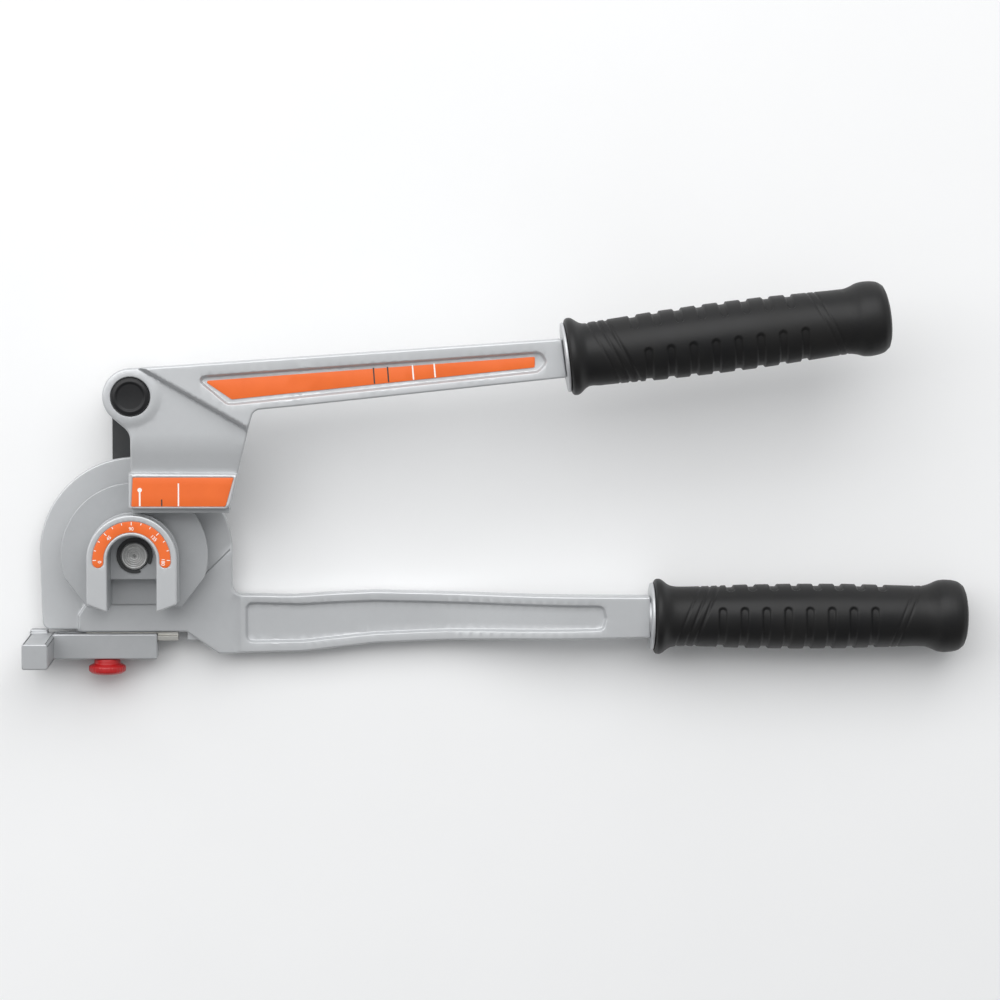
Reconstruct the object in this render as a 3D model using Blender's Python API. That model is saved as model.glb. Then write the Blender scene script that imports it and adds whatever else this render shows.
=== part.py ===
"""Manual tube bender for three tube sizes, lying on its back.

The bending axis is +Z, the fixed handle runs along +X, and z = 0 is the surface that the tool lies on.
The origin is where the bending axis meets that surface. The link stands at the 90 degree mark.
Sizes are in millimetres, and MM turns them into Blender's metres.
"""

from math import asin, atan2, cos, degrees, pi, radians, sin, sqrt, tan

import bmesh
import bpy
from mathutils import Matrix, Vector

MM = 0.001
GAP = 0.3  # clearance left between pieces that touch

# Tubes and bends: outer diameters of 1/2, 3/8 and 1/4 inch tube, and centre-line bend radii.
LARGE_TUBE, MEDIUM_TUBE, SMALL_TUBE = 12.7, 9.525, 6.35
LARGE_BEND, SMALL_BEND = 38.1, 23.8
GROOVE_PLAY = 0.1
LARGE_GROOVE_Z, MEDIUM_GROOVE_Z, SMALL_GROOVE_Z = 22.25, 36.2, 47.05

# Levels from the back of the tool to its front.
LINK_BACK, LINK_FRONT = 3.3, 9.3
PLATE_BACK, PLATE_FRONT, WEB_FRONT = 10.7, 14.0, 15.5
REAR_DIE_BACK, RIM_BACK, RIM_FRONT = 15.8, 28.7, 31.2
RIDGE_BACK, RIDGE_FRONT = 41.2, 43.7
DIAL_BACK, DIAL_FRONT = 50.4, 55.9
CHEEK_BACK, CHEEK_FRONT, SHOE_PLATE_FRONT = 52.0, 57.6, 58.5
BOSS_FRONT = 59.5

# Plan sizes.
PLATE_RADIUS = 55.0
RIM_RADIUS = 41.6
RIDGE_RADIUS = 25.8
DIAL_RADIUS = 25.2
POCKET_RADIUS = 13.7
LEG_OUTER_Y, LEG_INNER_Y = -25.0, -29.4
POCKET_STEP_Y = -13.8
POCKET_FLOOR, POCKET_LOWER_FLOOR = 28.6, 17.6
PIN_RADIUS = 7.8
PIN_FACE = 32.0
LINK_LENGTH = 91.7
LINK_HALF_WIDTH = 13.6
LINK_PIN_RADIUS = 7.0
BOSS_RADIUS = 15.6
CAP_RADIUS = 10.6

# Handles and grips.
GRIP_LENGTH = 181.0
TANG_RADIUS = 11.0
LOWER_GRIP_X, LOWER_GRIP_Y, LOWER_GRIP_Z = 296.2, -36.15, 21.8
UPPER_GRIP_X, UPPER_GRIP_Y, UPPER_GRIP_Z = 242.8, 114.6, 67.3
UPPER_GRIP_TILT = radians(7.4)
BEAM_HALF_THICKNESS = 7.0
RECESS_DEPTH = 2.4
UPPER_BEAM_START, UPPER_BEAM_MIDDLE, UPPER_BEAM_RISE = 10.0, 55.3, 0.0515

# Hook slide, its rail, and the pull knob that locks it.
HOOK_TRAVEL = 16.3
SLIDE_BACK, SLIDE_FRONT, SLIDE_TOP, SLIDE_BOTTOM = 3.0, 18.0, -46.4, -60.9
SLIDE_LEFT, SLIDE_RIGHT = -47.5, 11.9
JAW_SIZE, JAW_X, JAW_Y, JAW_FRONT = 14.5, -61.5, -61.6, 57.0
RAIL_LEFT, RAIL_RIGHT, RAIL_TOP, RAIL_BOTTOM = -29.0, 23.8, -45.8, -50.4
RAIL_MIDDLE = 10.9
STEM_HALF, FLANGE_HALF, FLANGE_TOP = 2.5, 5.1, -47.6
KNOB_X, KNOB_RADIUS = -17.1, 10.6
NOSE_RADIUS, NOSE_TOP, NOSE_SLOT_DEPTH = 1.8, -48.4, 2.5

for old in list(bpy.data.objects):
    bpy.data.objects.remove(old, do_unlink=True)


# ---- Outlines: lists of (x, y) points ----


def arc(cx, cy, radius, start, end, steps):
    """Points on an arc, with angles in degrees."""
    angles = [radians(start + (end - start) * i / steps) for i in range(steps + 1)]
    return [(cx + radius * cos(a), cy + radius * sin(a)) for a in angles]


def rounded(corners, steps=4):
    """A closed outline through (x, y, radius) corners, each one rounded by an arc of its radius."""
    points = []
    for i, (x, y, radius) in enumerate(corners):
        if radius == 0:
            points.append((x, y))
            continue
        here = Vector((x, y))
        before = (Vector(corners[i - 1][:2]) - here).normalized()
        after = (Vector(corners[(i + 1) % len(corners)][:2]) - here).normalized()
        half_angle = before.angle(after) / 2
        centre = here + (before + after).normalized() * (radius / sin(half_angle))
        first = here + before * (radius / tan(half_angle)) - centre
        last = here + after * (radius / tan(half_angle)) - centre
        start = atan2(first.y, first.x)
        turn = (atan2(last.y, last.x) - start + pi) % (2 * pi) - pi
        points += arc(centre.x, centre.y, radius, degrees(start), degrees(start + turn), steps)
    return points


def rectangle(x0, y0, x1, y1):
    return [(x0, y0), (x1, y0), (x1, y1), (x0, y1)]


def arch_band(inner, outer, end_y, steps=20):
    """An arch-shaped band with straight legs down to end_y, finished with half-round ends."""
    middle, half = (inner + outer) / 2, (outer - inner) / 2
    return (
        arc(0, 0, outer, 0, 180, steps)
        + arc(-middle, end_y, half, 180, 360, 6)
        + arc(0, 0, inner, 180, 0, steps)
        + arc(middle, end_y, half, 180, 360, 6)
    )


# ---- Meshes ----


def finish(name, bm, colour, roughness, metallic, smooth=True):
    """Turns millimetre geometry into a named object with its own material."""
    bmesh.ops.remove_doubles(bm, verts=bm.verts, dist=0.001)
    bmesh.ops.recalc_face_normals(bm, faces=bm.faces)
    bmesh.ops.triangulate(bm, faces=bm.faces)
    bmesh.ops.scale(bm, vec=(MM, MM, MM), verts=bm.verts)
    mesh = bpy.data.meshes.new(name)
    bm.to_mesh(mesh)
    bm.free()
    if smooth:
        mesh.shade_smooth()
        mesh.set_sharp_from_angle(angle=radians(35))
    material = bpy.data.materials.new(name)
    material.use_nodes = True
    shader = material.node_tree.nodes["Principled BSDF"]
    shader.inputs["Base Color"].default_value = (*colour, 1)
    shader.inputs["Roughness"].default_value = roughness
    shader.inputs["Metallic"].default_value = metallic
    mesh.materials.append(material)
    obj = bpy.data.objects.new(name, mesh)
    bpy.context.scene.collection.objects.link(obj)
    return obj


def lofted(sections):
    """A closed solid through sections, which are lists of the same number of (x, y, z) points."""
    bm = bmesh.new()
    rings = [[bm.verts.new(point) for point in section] for section in sections]
    for ring, following in zip(rings, rings[1:]):
        for i in range(len(ring)):
            j = (i + 1) % len(ring)
            bm.faces.new((ring[i], ring[j], following[j], following[i]))
    bm.faces.new(rings[0])
    bm.faces.new(rings[-1])
    return bm


def prism(outline, z0, z1, rise=0.0, start=0.0):
    """An outline extruded along z. With a rise it is also sheared, so z grows along x from start."""
    return lofted([[(x, y, z + rise * (x - start)) for x, y in outline] for z in (z0, z1)])


def turned(profile, segments=28):
    """A solid of revolution about z. The profile of (radius, z) points is closed, or ends on the axis."""
    bm = bmesh.new()
    verts = [bm.verts.new((radius, 0, z)) for radius, z in profile]
    edges = [bm.edges.new(pair) for pair in zip(verts, verts[1:])]
    if profile[0][0] > 0:
        edges.append(bm.edges.new((verts[-1], verts[0])))
    bmesh.ops.spin(
        bm, geom=verts + edges, axis=(0, 0, 1), cent=(0, 0, 0), steps=segments, angle=2 * pi, use_merge=True
    )
    bmesh.ops.remove_doubles(bm, verts=bm.verts, dist=0.001)
    return bm


def bar(radius, z0, z1):
    """Profile of a plain round bar."""
    return [(0, z0), (radius, z0), (radius, z1), (0, z1)]


def ring(inner, outer, z0, z1):
    """Profile of a washer or a bush."""
    return [(inner, z0), (outer, z0), (outer, z1), (inner, z1)]


def moved(bm, x=0.0, y=0.0, z=0.0):
    bmesh.ops.translate(bm, vec=(x, y, z), verts=bm.verts)
    return bm


def along(bm, matrix):
    """Turns geometry made about +Z to another axis."""
    bmesh.ops.transform(bm, matrix=matrix, verts=bm.verts)
    return bm


def helper(bm):
    """A hidden solid that another piece is joined with or cut by."""
    obj = finish("helper", bm, (0.5, 0.5, 0.5), 0.5, 0.0, smooth=False)
    obj.hide_render = True
    obj.display_type = "WIRE"
    return obj


def boolean(obj, operation, bm):
    modifier = obj.modifiers.new(operation.lower(), "BOOLEAN")
    modifier.operation = operation
    modifier.solver = "EXACT"
    modifier.object = helper(bm)


def join(obj, *solids):
    for bm in solids:
        boolean(obj, "UNION", bm)


def cut(obj, *solids):
    for bm in solids:
        boolean(obj, "DIFFERENCE", bm)


# ---- Finishes: colour, roughness, metallic ----

PAINTED_CASTING = ((0.62, 0.63, 0.64), 0.42, 0.35)
TURNED_STEEL = ((0.45, 0.45, 0.44), 0.35, 0.9)
DARK_STEEL = ((0.06, 0.065, 0.07), 0.45, 0.5)
ZINC_STEEL = ((0.55, 0.55, 0.53), 0.4, 0.9)
BRONZE = ((0.50, 0.33, 0.15), 0.4, 0.8)
BLACK_RUBBER = ((0.018, 0.018, 0.02), 0.6, 0.0)
BLACK_PLASTIC = ((0.02, 0.02, 0.022), 0.4, 0.0)
ORANGE_LABEL = ((0.9, 0.22, 0.05), 0.45, 0.0)
RED_PLASTIC = ((0.6, 0.02, 0.025), 0.3, 0.0)

AXIS_X = Matrix.Rotation(pi / 2, 4, "Y")
AXIS_Y = Matrix.Rotation(-pi / 2, 4, "X")


def smooth_step(t):
    t = min(max(t, 0.0), 1.0)
    return t * t * (3 - 2 * t)


def groove(bend, tube, middle, z0, z1, steps=8):
    """(radius, z) points of a half-round groove in a die, from level z0 to level z1."""
    size = tube / 2 + GROOVE_PLAY
    points = []
    start, end = asin((z0 - middle) / size), asin((z1 - middle) / size)
    for i in range(steps + 1):
        a = start + (end - start) * i / steps
        points.append((bend - size * cos(a), middle + size * sin(a)))
    return points


# ---- Fixed handle: back plate, web and beam in one casting ----

WEB_CORNER_X = 54.6
LOWER_BEAM_STATIONS = (
    # x, top y, bottom y, recess depth
    (50.0, -21.0, -57.9, 0.0),
    (60.0, -24.4, -57.9, 0.0),
    (62.5, -24.6, -57.8, 0.0),
    (64.5, -24.7, -57.8, RECESS_DEPTH),
    (95.0, -25.0, -57.2, RECESS_DEPTH),
    (113.0, -23.6, -55.2, RECESS_DEPTH),
    (136.0, -22.4, -52.4, RECESS_DEPTH),
    (175.0, -23.4, -50.8, RECESS_DEPTH),
    (195.0, -23.7, -50.0, RECESS_DEPTH),
    (213.0, -23.9, -49.5, RECESS_DEPTH),
    (231.0, -24.0, -49.1, RECESS_DEPTH),
    (250.0, -24.1, -48.8, RECESS_DEPTH),
    (265.5, -24.2, -48.5, RECESS_DEPTH),
    (267.5, -24.2, -48.5, 0.0),
    (294.0, -24.4, -47.9, 0.0),
)
LOWER_BEAM_Z, LOWER_BEND_START, LOWER_BEND_END = 7.6, 165.0, 255.0
LOWER_BEAM_HALF = 5.8


def i_section(x, top, bottom, middle, half, depth, flange=4.6, slope=1.2):
    """Section of a beam across x: two flanges and a thinner web between them."""
    front, back = middle + half, middle - half
    return [
        (x, top, back),
        (x, top, front),
        (x, top - flange, front),
        (x, top - flange - slope, front - depth),
        (x, bottom + flange + slope, front - depth),
        (x, bottom + flange, front),
        (x, bottom, front),
        (x, bottom, back),
        (x, bottom + flange, back),
        (x, bottom + flange + slope, back + depth),
        (x, top - flange - slope, back + depth),
        (x, top - flange, back),
    ]


def lower_beam():
    sections = []
    for x, top, bottom, depth in LOWER_BEAM_STATIONS:
        bend = smooth_step((x - LOWER_BEND_START) / (LOWER_BEND_END - LOWER_BEND_START))
        middle = LOWER_BEAM_Z + (LOWER_GRIP_Z - LOWER_BEAM_Z) * bend
        half = LOWER_BEAM_HALF + (BEAM_HALF_THICKNESS - LOWER_BEAM_HALF) * bend
        sections.append(i_section(x, top, bottom, middle, half, depth))
    return lofted(sections)


LOWER_EDGE = [(28.6, -45.5, 2.0), (47.0, -58.2, 2.0), (WEB_CORNER_X, -58.2, 4.0), (WEB_CORNER_X, -21.6, 0)]
PLATE_OUTLINE = rounded(
    [(x, y, 0) for x, y in arc(0, 0, PLATE_RADIUS, 4, 180, 40)] + [(-53.6, -45.5, 5.0), *LOWER_EDGE]
)
WEB_OUTLINE = rounded(
    [(WEB_CORNER_X, 3.2, 0), (25.2, -25.9, 0), (-26.0, -25.9, 0), (-34.0, -36.0, 1.0), (-34.0, -45.5, 1.0)]
    + LOWER_EDGE
)
BLOCK_OUTLINE = rounded(
    [(-34.0, -17.0, 3.0), (-34.0, -45.5, 1.0), *LOWER_EDGE[:2], (58.0, -58.2, 2.0), (58.0, -17.0, 3.0)]
)
BLOCK_BACK = 3.3

STOP_LUG = rectangle(28.6, -50.6, 37.0, -44.0)
casting = finish("lower_handle_casting", prism(PLATE_OUTLINE, PLATE_BACK, PLATE_FRONT), *PAINTED_CASTING)
lower_tang = along(turned(bar(TANG_RADIUS, 290.0, 463.0), 20), AXIS_X)
join(
    casting,
    prism(WEB_OUTLINE, PLATE_BACK + 0.5, WEB_FRONT),
    prism(BLOCK_OUTLINE, BLOCK_BACK, PLATE_BACK + 0.9),
    lower_beam(),
    moved(lower_tang, y=LOWER_GRIP_Y, z=LOWER_GRIP_Z),
    prism(STOP_LUG, BLOCK_BACK + 1.0, WEB_FRONT - 2.0),
)

DIE_SCREWS = [(24.0 * cos(radians(a)), 24.0 * sin(radians(a))) for a in (90, 210, 330)]
DIAL_SCREWS = [(-16.3, -21.0), (16.3, -21.0)]
RAIL_SCREWS = [-24.5, 19.5]
PIN_BORE = PIN_RADIUS + 0.4
cut(casting, turned(bar(PIN_BORE, 0.0, 20.0)))
for x, y in DIE_SCREWS:
    cut(casting, moved(turned(bar(4.1, 5.0, 13.0), 16), x, y), moved(turned(bar(2.3, 5.0, 18.0), 12), x, y))
for x, y in DIAL_SCREWS:
    cut(casting, moved(turned(bar(3.2, 0.0, 7.0), 16), x, y), moved(turned(bar(1.8, 0.0, 18.0), 12), x, y))
for x in RAIL_SCREWS:
    cut(casting, moved(along(turned(bar(1.55, -50.0, -37.5), 12), AXIS_Y), x, 0, RAIL_MIDDLE))


# ---- Rear die: the groove for the large tube and the rim in front of it ----

LARGE_GROOVE = groove(LARGE_BEND, LARGE_TUBE, LARGE_GROOVE_Z, REAR_DIE_BACK, RIM_BACK)
rim = [(RIM_RADIUS, RIM_BACK), (RIM_RADIUS, RIM_FRONT)]
rear_profile = [(0, REAR_DIE_BACK), *LARGE_GROOVE, *rim, (0, RIM_FRONT)]
rear_die = finish("rear_die", turned(rear_profile, 56), *PAINTED_CASTING)
below = [(-60, -29.4), (-26.6, -29.4), (-41.8, -9.6), (-60, -9.6)]
beside = [(60, -9.6), (41.8, -9.6), (26.6, -29.4), (60, -29.4)]
cut(
    rear_die,
    prism(rectangle(-60, -60, 60, -29.4), 10.0, 40.0),
    prism(below, 10.0, 40.0),
    prism(beside, 10.0, 40.0),
    prism(rectangle(-POCKET_RADIUS, -60, POCKET_RADIUS, POCKET_STEP_Y), POCKET_LOWER_FLOOR, 40.0),
    turned(bar(POCKET_RADIUS, POCKET_FLOOR, 40.0)),
    prism(rectangle(-POCKET_RADIUS, POCKET_STEP_Y - 1, POCKET_RADIUS, 0), POCKET_FLOOR, 40.0),
    turned(bar(PIN_BORE, 10.0, 40.0)),
)
for x, y in DIE_SCREWS:
    cut(rear_die, moved(turned(bar(2.3, 10.0, 26.0), 12), x, y))
for x, y in DIAL_SCREWS:
    cut(rear_die, moved(turned(bar(1.8, 10.0, 40.0), 12), x, y))


# ---- Front die: an arch that carries the grooves for the medium and small tubes ----

FRONT_DIE_BACK, FRONT_DIE_FRONT = RIM_FRONT + GAP, DIAL_BACK - GAP
MEDIUM_GROOVE = groove(SMALL_BEND, MEDIUM_TUBE, MEDIUM_GROOVE_Z, FRONT_DIE_BACK, RIDGE_BACK - 0.2)
SMALL_GROOVE = groove(SMALL_BEND, SMALL_TUBE, SMALL_GROOVE_Z, RIDGE_FRONT + 0.1, FRONT_DIE_FRONT)
ARCH_SECTION = [
    (POCKET_RADIUS, FRONT_DIE_BACK),
    *MEDIUM_GROOVE,
    (RIDGE_RADIUS, RIDGE_BACK),
    (RIDGE_RADIUS, RIDGE_FRONT),
    *SMALL_GROOVE,
    (POCKET_RADIUS, FRONT_DIE_FRONT),
]


def leg_end(radius):
    """Height of the slanted end of a leg, at a distance from the arch's middle line."""
    share = (radius - POCKET_RADIUS) / (DIAL_RADIUS - POCKET_RADIUS)
    return LEG_INNER_Y + share * (LEG_OUTER_Y - LEG_INNER_Y)


def arch(section, steps=24):
    """A section of (distance from the middle, z) points carried up a leg, round the top and down a leg."""
    sections = [[(-r, leg_end(r), z) for r, z in section]]
    for i in range(steps + 1):
        a = pi - pi * i / steps
        sections.append([(r * cos(a), r * sin(a), z) for r, z in section])
    sections.append([(r, leg_end(r), z) for r, z in section])
    return lofted(sections)


front_die = finish("front_die", arch(ARCH_SECTION), *PAINTED_CASTING)
DIAL_SECTION = [
    (POCKET_RADIUS, DIAL_BACK),
    (DIAL_RADIUS, DIAL_BACK),
    (DIAL_RADIUS, DIAL_FRONT),
    (POCKET_RADIUS, DIAL_FRONT),
]
dial_plate = finish("dial_plate", arch(DIAL_SECTION), *PAINTED_CASTING)
LABEL_INNER, LABEL_OUTER, LABEL_END_Y, LABEL_THICKNESS = 15.7, 21.8, -1.2, 0.3
LABEL_RECESS = LABEL_THICKNESS + GAP
cut(
    dial_plate,
    prism(arch_band(LABEL_INNER - GAP, LABEL_OUTER + GAP, LABEL_END_Y), DIAL_FRONT - LABEL_RECESS, 60.0),
)
dial_band = arch_band(LABEL_INNER, LABEL_OUTER, LABEL_END_Y)
finish("dial_label", prism(dial_band, DIAL_FRONT - LABEL_THICKNESS, DIAL_FRONT), *ORANGE_LABEL)
for x, y in DIAL_SCREWS:
    cut(front_die, moved(turned(bar(1.8, 30.0, 52.0), 12), x, y))
    cut(dial_plate, moved(turned(bar(1.8, 50.0, 54.4), 12), x, y))


# ---- Screws that hold the dies and the dial plate to the casting, from behind ----


def socket_screw(name, head_radius, radius, back, neck, tip, taper=0.0):
    """A screw about z with its head at the back. A taper makes the head a countersunk one."""
    head = [(0, back), (head_radius, back), (head_radius, neck - taper), (radius, neck)]
    if not taper:
        head[3] = (head_radius, neck)
        head.append((radius, neck))
    return finish(name, turned([*head, (radius, tip), (0, tip)], 16), *ZINC_STEEL)


for number, (x, y) in enumerate(DIE_SCREWS, 1):
    screw = socket_screw(f"die_screw_{number}", 3.8, 2.0, 11.0, 12.7, 25.5, taper=1.2)
    screw.location = (x * MM, y * MM, 0)
for side, (x, y) in zip(("left", "right"), DIAL_SCREWS):
    screw = socket_screw(f"dial_screw_{side}", 2.9, 1.5, 3.8, 6.7, 54.0)
    screw.location = (x * MM, y * MM, 0)


# ---- Main pin and its retaining ring ----

CLIP_BACK, CLIP_FRONT, CLIP_GROOVE = 29.0, 30.0, 7.2
main_pin_profile = [
    (0, 0),
    (10.2, 0),
    (11.0, 0.8),
    (11.0, 3.0),
    (PIN_RADIUS, 3.0),
    (PIN_RADIUS, CLIP_BACK - 0.2),
    (CLIP_GROOVE, CLIP_BACK - 0.2),
    (CLIP_GROOVE, CLIP_FRONT + 0.2),
    (PIN_RADIUS, CLIP_FRONT + 0.2),
    (PIN_RADIUS, PIN_FACE - 0.5),
    (PIN_RADIUS - 0.5, PIN_FACE),
    (0, PIN_FACE),
]
finish("main_pin", turned(main_pin_profile), *TURNED_STEEL)


def retaining_ring(name, inner, outer, back, front, opening):
    """A C-shaped ring with its 40 degree gap centred on the angle of the opening."""
    start, end = opening + 20, opening + 340
    outline = arc(0, 0, outer, start, end, 24) + arc(0, 0, inner, end, start, 24)
    return finish(name, prism(outline, back, front), *DARK_STEEL)


retaining_ring("main_pin_clip", CLIP_GROOVE + 0.2, 10.2, CLIP_BACK, CLIP_FRONT, -50)


# ---- Hook rail under the casting ----


def along_x(section, x0, x1):
    """A section of (y, z) points extruded along x."""
    return lofted([[(x, y, z) for y, z in section] for x in (x0, x1)])


def tee(stem_half, flange_half, top, shoulder, bottom):
    """Outline of an upside-down T about the rail's middle, as (y, z) points."""
    z = RAIL_MIDDLE
    return [
        (top, z - stem_half),
        (shoulder, z - stem_half),
        (shoulder, z - flange_half),
        (bottom, z - flange_half),
        (bottom, z + flange_half),
        (shoulder, z + flange_half),
        (shoulder, z + stem_half),
        (top, z + stem_half),
    ]


rail_section = tee(STEM_HALF, FLANGE_HALF, RAIL_TOP, FLANGE_TOP, RAIL_BOTTOM)
rail = finish("hook_rail", along_x(rail_section, RAIL_LEFT, RAIL_RIGHT), *ZINC_STEEL, smooth=False)
slot_half = NOSE_RADIUS + 0.35
nose_slot = [
    (KNOB_X + (HOOK_TRAVEL if end else 0) + slot_half * cos(a), slot_half * sin(a))
    for end, first in ((0, pi / 2), (1, -pi / 2))
    for a in (first + pi * i / 6 for i in range(7))
]
slot_outline = [(x, -z) for x, z in nose_slot]
slot_cutter = along(prism(slot_outline, RAIL_BOTTOM - 1, RAIL_BOTTOM + NOSE_SLOT_DEPTH), AXIS_Y)
cut(rail, moved(slot_cutter, z=RAIL_MIDDLE))
for side, x in zip(("left", "right"), RAIL_SCREWS):
    head_hole = along(turned(bar(2.8, RAIL_BOTTOM - 1, RAIL_BOTTOM + 1.7), 16), AXIS_Y)
    shank_hole = along(turned(bar(1.55, RAIL_BOTTOM - 1, RAIL_TOP + 1), 12), AXIS_Y)
    cut(rail, moved(head_hole, x, 0, RAIL_MIDDLE), moved(shank_hole, x, 0, RAIL_MIDDLE))
    screw = socket_screw(f"rail_screw_{side}", 2.5, 1.3, RAIL_BOTTOM + 0.1, RAIL_BOTTOM + 1.5, -38.0)
    screw.matrix_world = Matrix.Translation((x * MM, 0, RAIL_MIDDLE * MM)) @ AXIS_Y


# ---- Grips and their collars ----

# Outer radius of a grip at a distance from its mouth: flange, waist, belly, and the flared end.
GRIP_PROFILE = (
    (0.0, 20.2),
    (1.2, 21.4),
    (4.0, 21.8),
    (7.5, 21.0),
    (10.5, 18.8),
    (13.5, 17.4),
    (18.0, 16.9),
    (30.0, 17.2),
    (50.0, 18.1),
    (80.0, 18.7),
    (110.0, 18.6),
    (135.0, 17.9),
    (152.0, 17.4),
    (157.0, 17.6),
    (160.5, 18.8),
    (164.0, 20.5),
    (168.0, 21.2),
    (172.5, 20.8),
    (176.5, 19.2),
    (179.5, 16.0),
    (181.0, 9.0),
)
GRIP_BORE, GRIP_BORE_DEPTH = TANG_RADIUS + 0.3, 172.0


def grip(name):
    profile = [(0, GRIP_BORE_DEPTH), (GRIP_BORE, GRIP_BORE_DEPTH), (GRIP_BORE, 0)]
    profile += [(radius, z) for z, radius in GRIP_PROFILE]
    return finish(name, turned([*profile, (0, GRIP_LENGTH)], 28), *BLACK_RUBBER)


def collar(name):
    return finish(name, turned(ring(GRIP_BORE, 19.4, -1.9, -0.3), 28), *PAINTED_CASTING)


LOWER_AXIS = Matrix.Translation(Vector((LOWER_GRIP_X, LOWER_GRIP_Y, LOWER_GRIP_Z)) * MM) @ AXIS_X
UPPER_AXIS = (
    Matrix.Translation(Vector((UPPER_GRIP_X, UPPER_GRIP_Y, UPPER_GRIP_Z)) * MM)
    @ Matrix.Rotation(UPPER_GRIP_TILT, 4, "Z")
    @ AXIS_X
)
lower_grip, lower_collar = grip("lower_grip"), collar("lower_grip_collar")
upper_grip, upper_collar = grip("upper_grip"), collar("upper_grip_collar")
for piece in (lower_grip, lower_collar):
    piece.matrix_world = LOWER_AXIS
for piece in (upper_grip, upper_collar):
    piece.matrix_world = UPPER_AXIS


# ---- Link: the bar behind the tool that carries the upper handle round the dies ----

link_outline = arc(0, 0, LINK_HALF_WIDTH, 180, 360, 20) + arc(0, LINK_LENGTH, LINK_HALF_WIDTH, 0, 180, 20)
link_bar = finish("link_bar", prism(link_outline, LINK_BACK, LINK_FRONT), *DARK_STEEL)
BUSH_RADIUS = 9.8
cut(
    link_bar,
    turned(bar(BUSH_RADIUS + GAP, 0.0, 12.0)),
    moved(turned(bar(LINK_PIN_RADIUS + GAP, 0.0, 12.0)), y=LINK_LENGTH),
)
finish("link_bush", turned(ring(PIN_RADIUS + 0.2, BUSH_RADIUS, LINK_BACK, LINK_FRONT)), *BRONZE)
finish("link_washer", turned(ring(PIN_BORE, 13.0, LINK_FRONT + GAP, 10.4)), *ZINC_STEEL)
LINK_PIN_TOP, LINK_CLIP_BACK, LINK_CLIP_FRONT = 55.3, 52.9, 54.1
link_pin_profile = [
    (0, 0),
    (9.2, 0),
    (10.0, 0.8),
    (10.0, 3.0),
    (LINK_PIN_RADIUS, 3.0),
    (LINK_PIN_RADIUS, LINK_CLIP_BACK - 0.2),
    (LINK_PIN_RADIUS - 0.6, LINK_CLIP_BACK - 0.2),
    (LINK_PIN_RADIUS - 0.6, LINK_CLIP_FRONT + 0.2),
    (LINK_PIN_RADIUS, LINK_CLIP_FRONT + 0.2),
    (LINK_PIN_RADIUS, LINK_PIN_TOP),
    (0, LINK_PIN_TOP),
]
finish("link_pin", turned(link_pin_profile), *TURNED_STEEL)
retaining_ring(
    "link_pin_clip", LINK_PIN_RADIUS - 0.4, CAP_RADIUS - 0.6, LINK_CLIP_BACK, LINK_CLIP_FRONT, 90
)
finish("handle_washer", turned(ring(LINK_PIN_RADIUS + GAP, 12.5, 9.6, 10.4)), *ZINC_STEEL)


# ---- Upper handle: pivot boss, cheek, shoe plate and beam in one casting ----

# The casting is drawn about the main pin's axis, with the pivot boss at (0, LINK_LENGTH).
STEP_TOP, STEP_END = (10.0, 105.3), (64.9, 73.8)
BEAM_OUTLINE = (
    [STEP_TOP, STEP_END]
    + rounded([(68.0, 84.3, 6.0), (242.0, 103.4, 0), (239.2, 124.9, 0), (27.6, 109.2, 0)])
    + [(3.0, 107.4)]
)
CHEEK_LEFT, CHEEK_LOWER_Y = -0.2, 46.0
CHEEK_OUTLINE = (
    arc(0, LINK_LENGTH, BOSS_RADIUS, 94, 229, 18)
    + rounded([(CHEEK_LEFT, 71.2, 10.0), (CHEEK_LEFT, CHEEK_LOWER_Y, 0), (58.6, CHEEK_LOWER_Y, 0)])
    + [(65.3, 73.9), (66.5, 79.0), (30.0, 104.0), (10.0, 107.0)]
)
SHOE_PLATE_OUTLINE = rounded(
    [(-1.4, 48.8, 1.2), (-1.4, 28.9, 1.2), (53.0, 28.9, 2.5), (55.2, 31.0, 2.0), (59.3, 48.3, 1.2)]
)
SHOE_TOP, SHOE_LEFT, SHOE_RIGHT = 60.0, 0.4, 54.5
CORE_OUTLINE = [(1.2, 60.3), (58.0, 60.3), (63.0, 71.0), (66.0, 80.5), (24.0, 101.0), (0.0, 99.0)]
RIB_OUTLINE = [(1.5, 60.3), (24.0, 60.3), (12.0, 91.7), (-10.0, 91.7), (-10.0, 84.0), (1.5, 73.0)]
CORE_BACK, RIB_BACK, BOSS_NECK = 32.0, 16.5, 13.4
boss_profile = [
    (0, 10.7),
    (BOSS_NECK, 10.7),
    (BOSS_NECK, 44.0),
    (BOSS_RADIUS, 46.5),
    (BOSS_RADIUS, BOSS_FRONT - 0.8),
    (BOSS_RADIUS - 0.8, BOSS_FRONT),
    (0, BOSS_FRONT),
]


def tilted(outline, below, above):
    """A solid that follows the upper beam's rise, from a distance below its middle to one above it."""
    z0, z1 = UPPER_BEAM_MIDDLE + below, UPPER_BEAM_MIDDLE + above
    return prism(outline, z0, z1, UPPER_BEAM_RISE, UPPER_BEAM_START)


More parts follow.
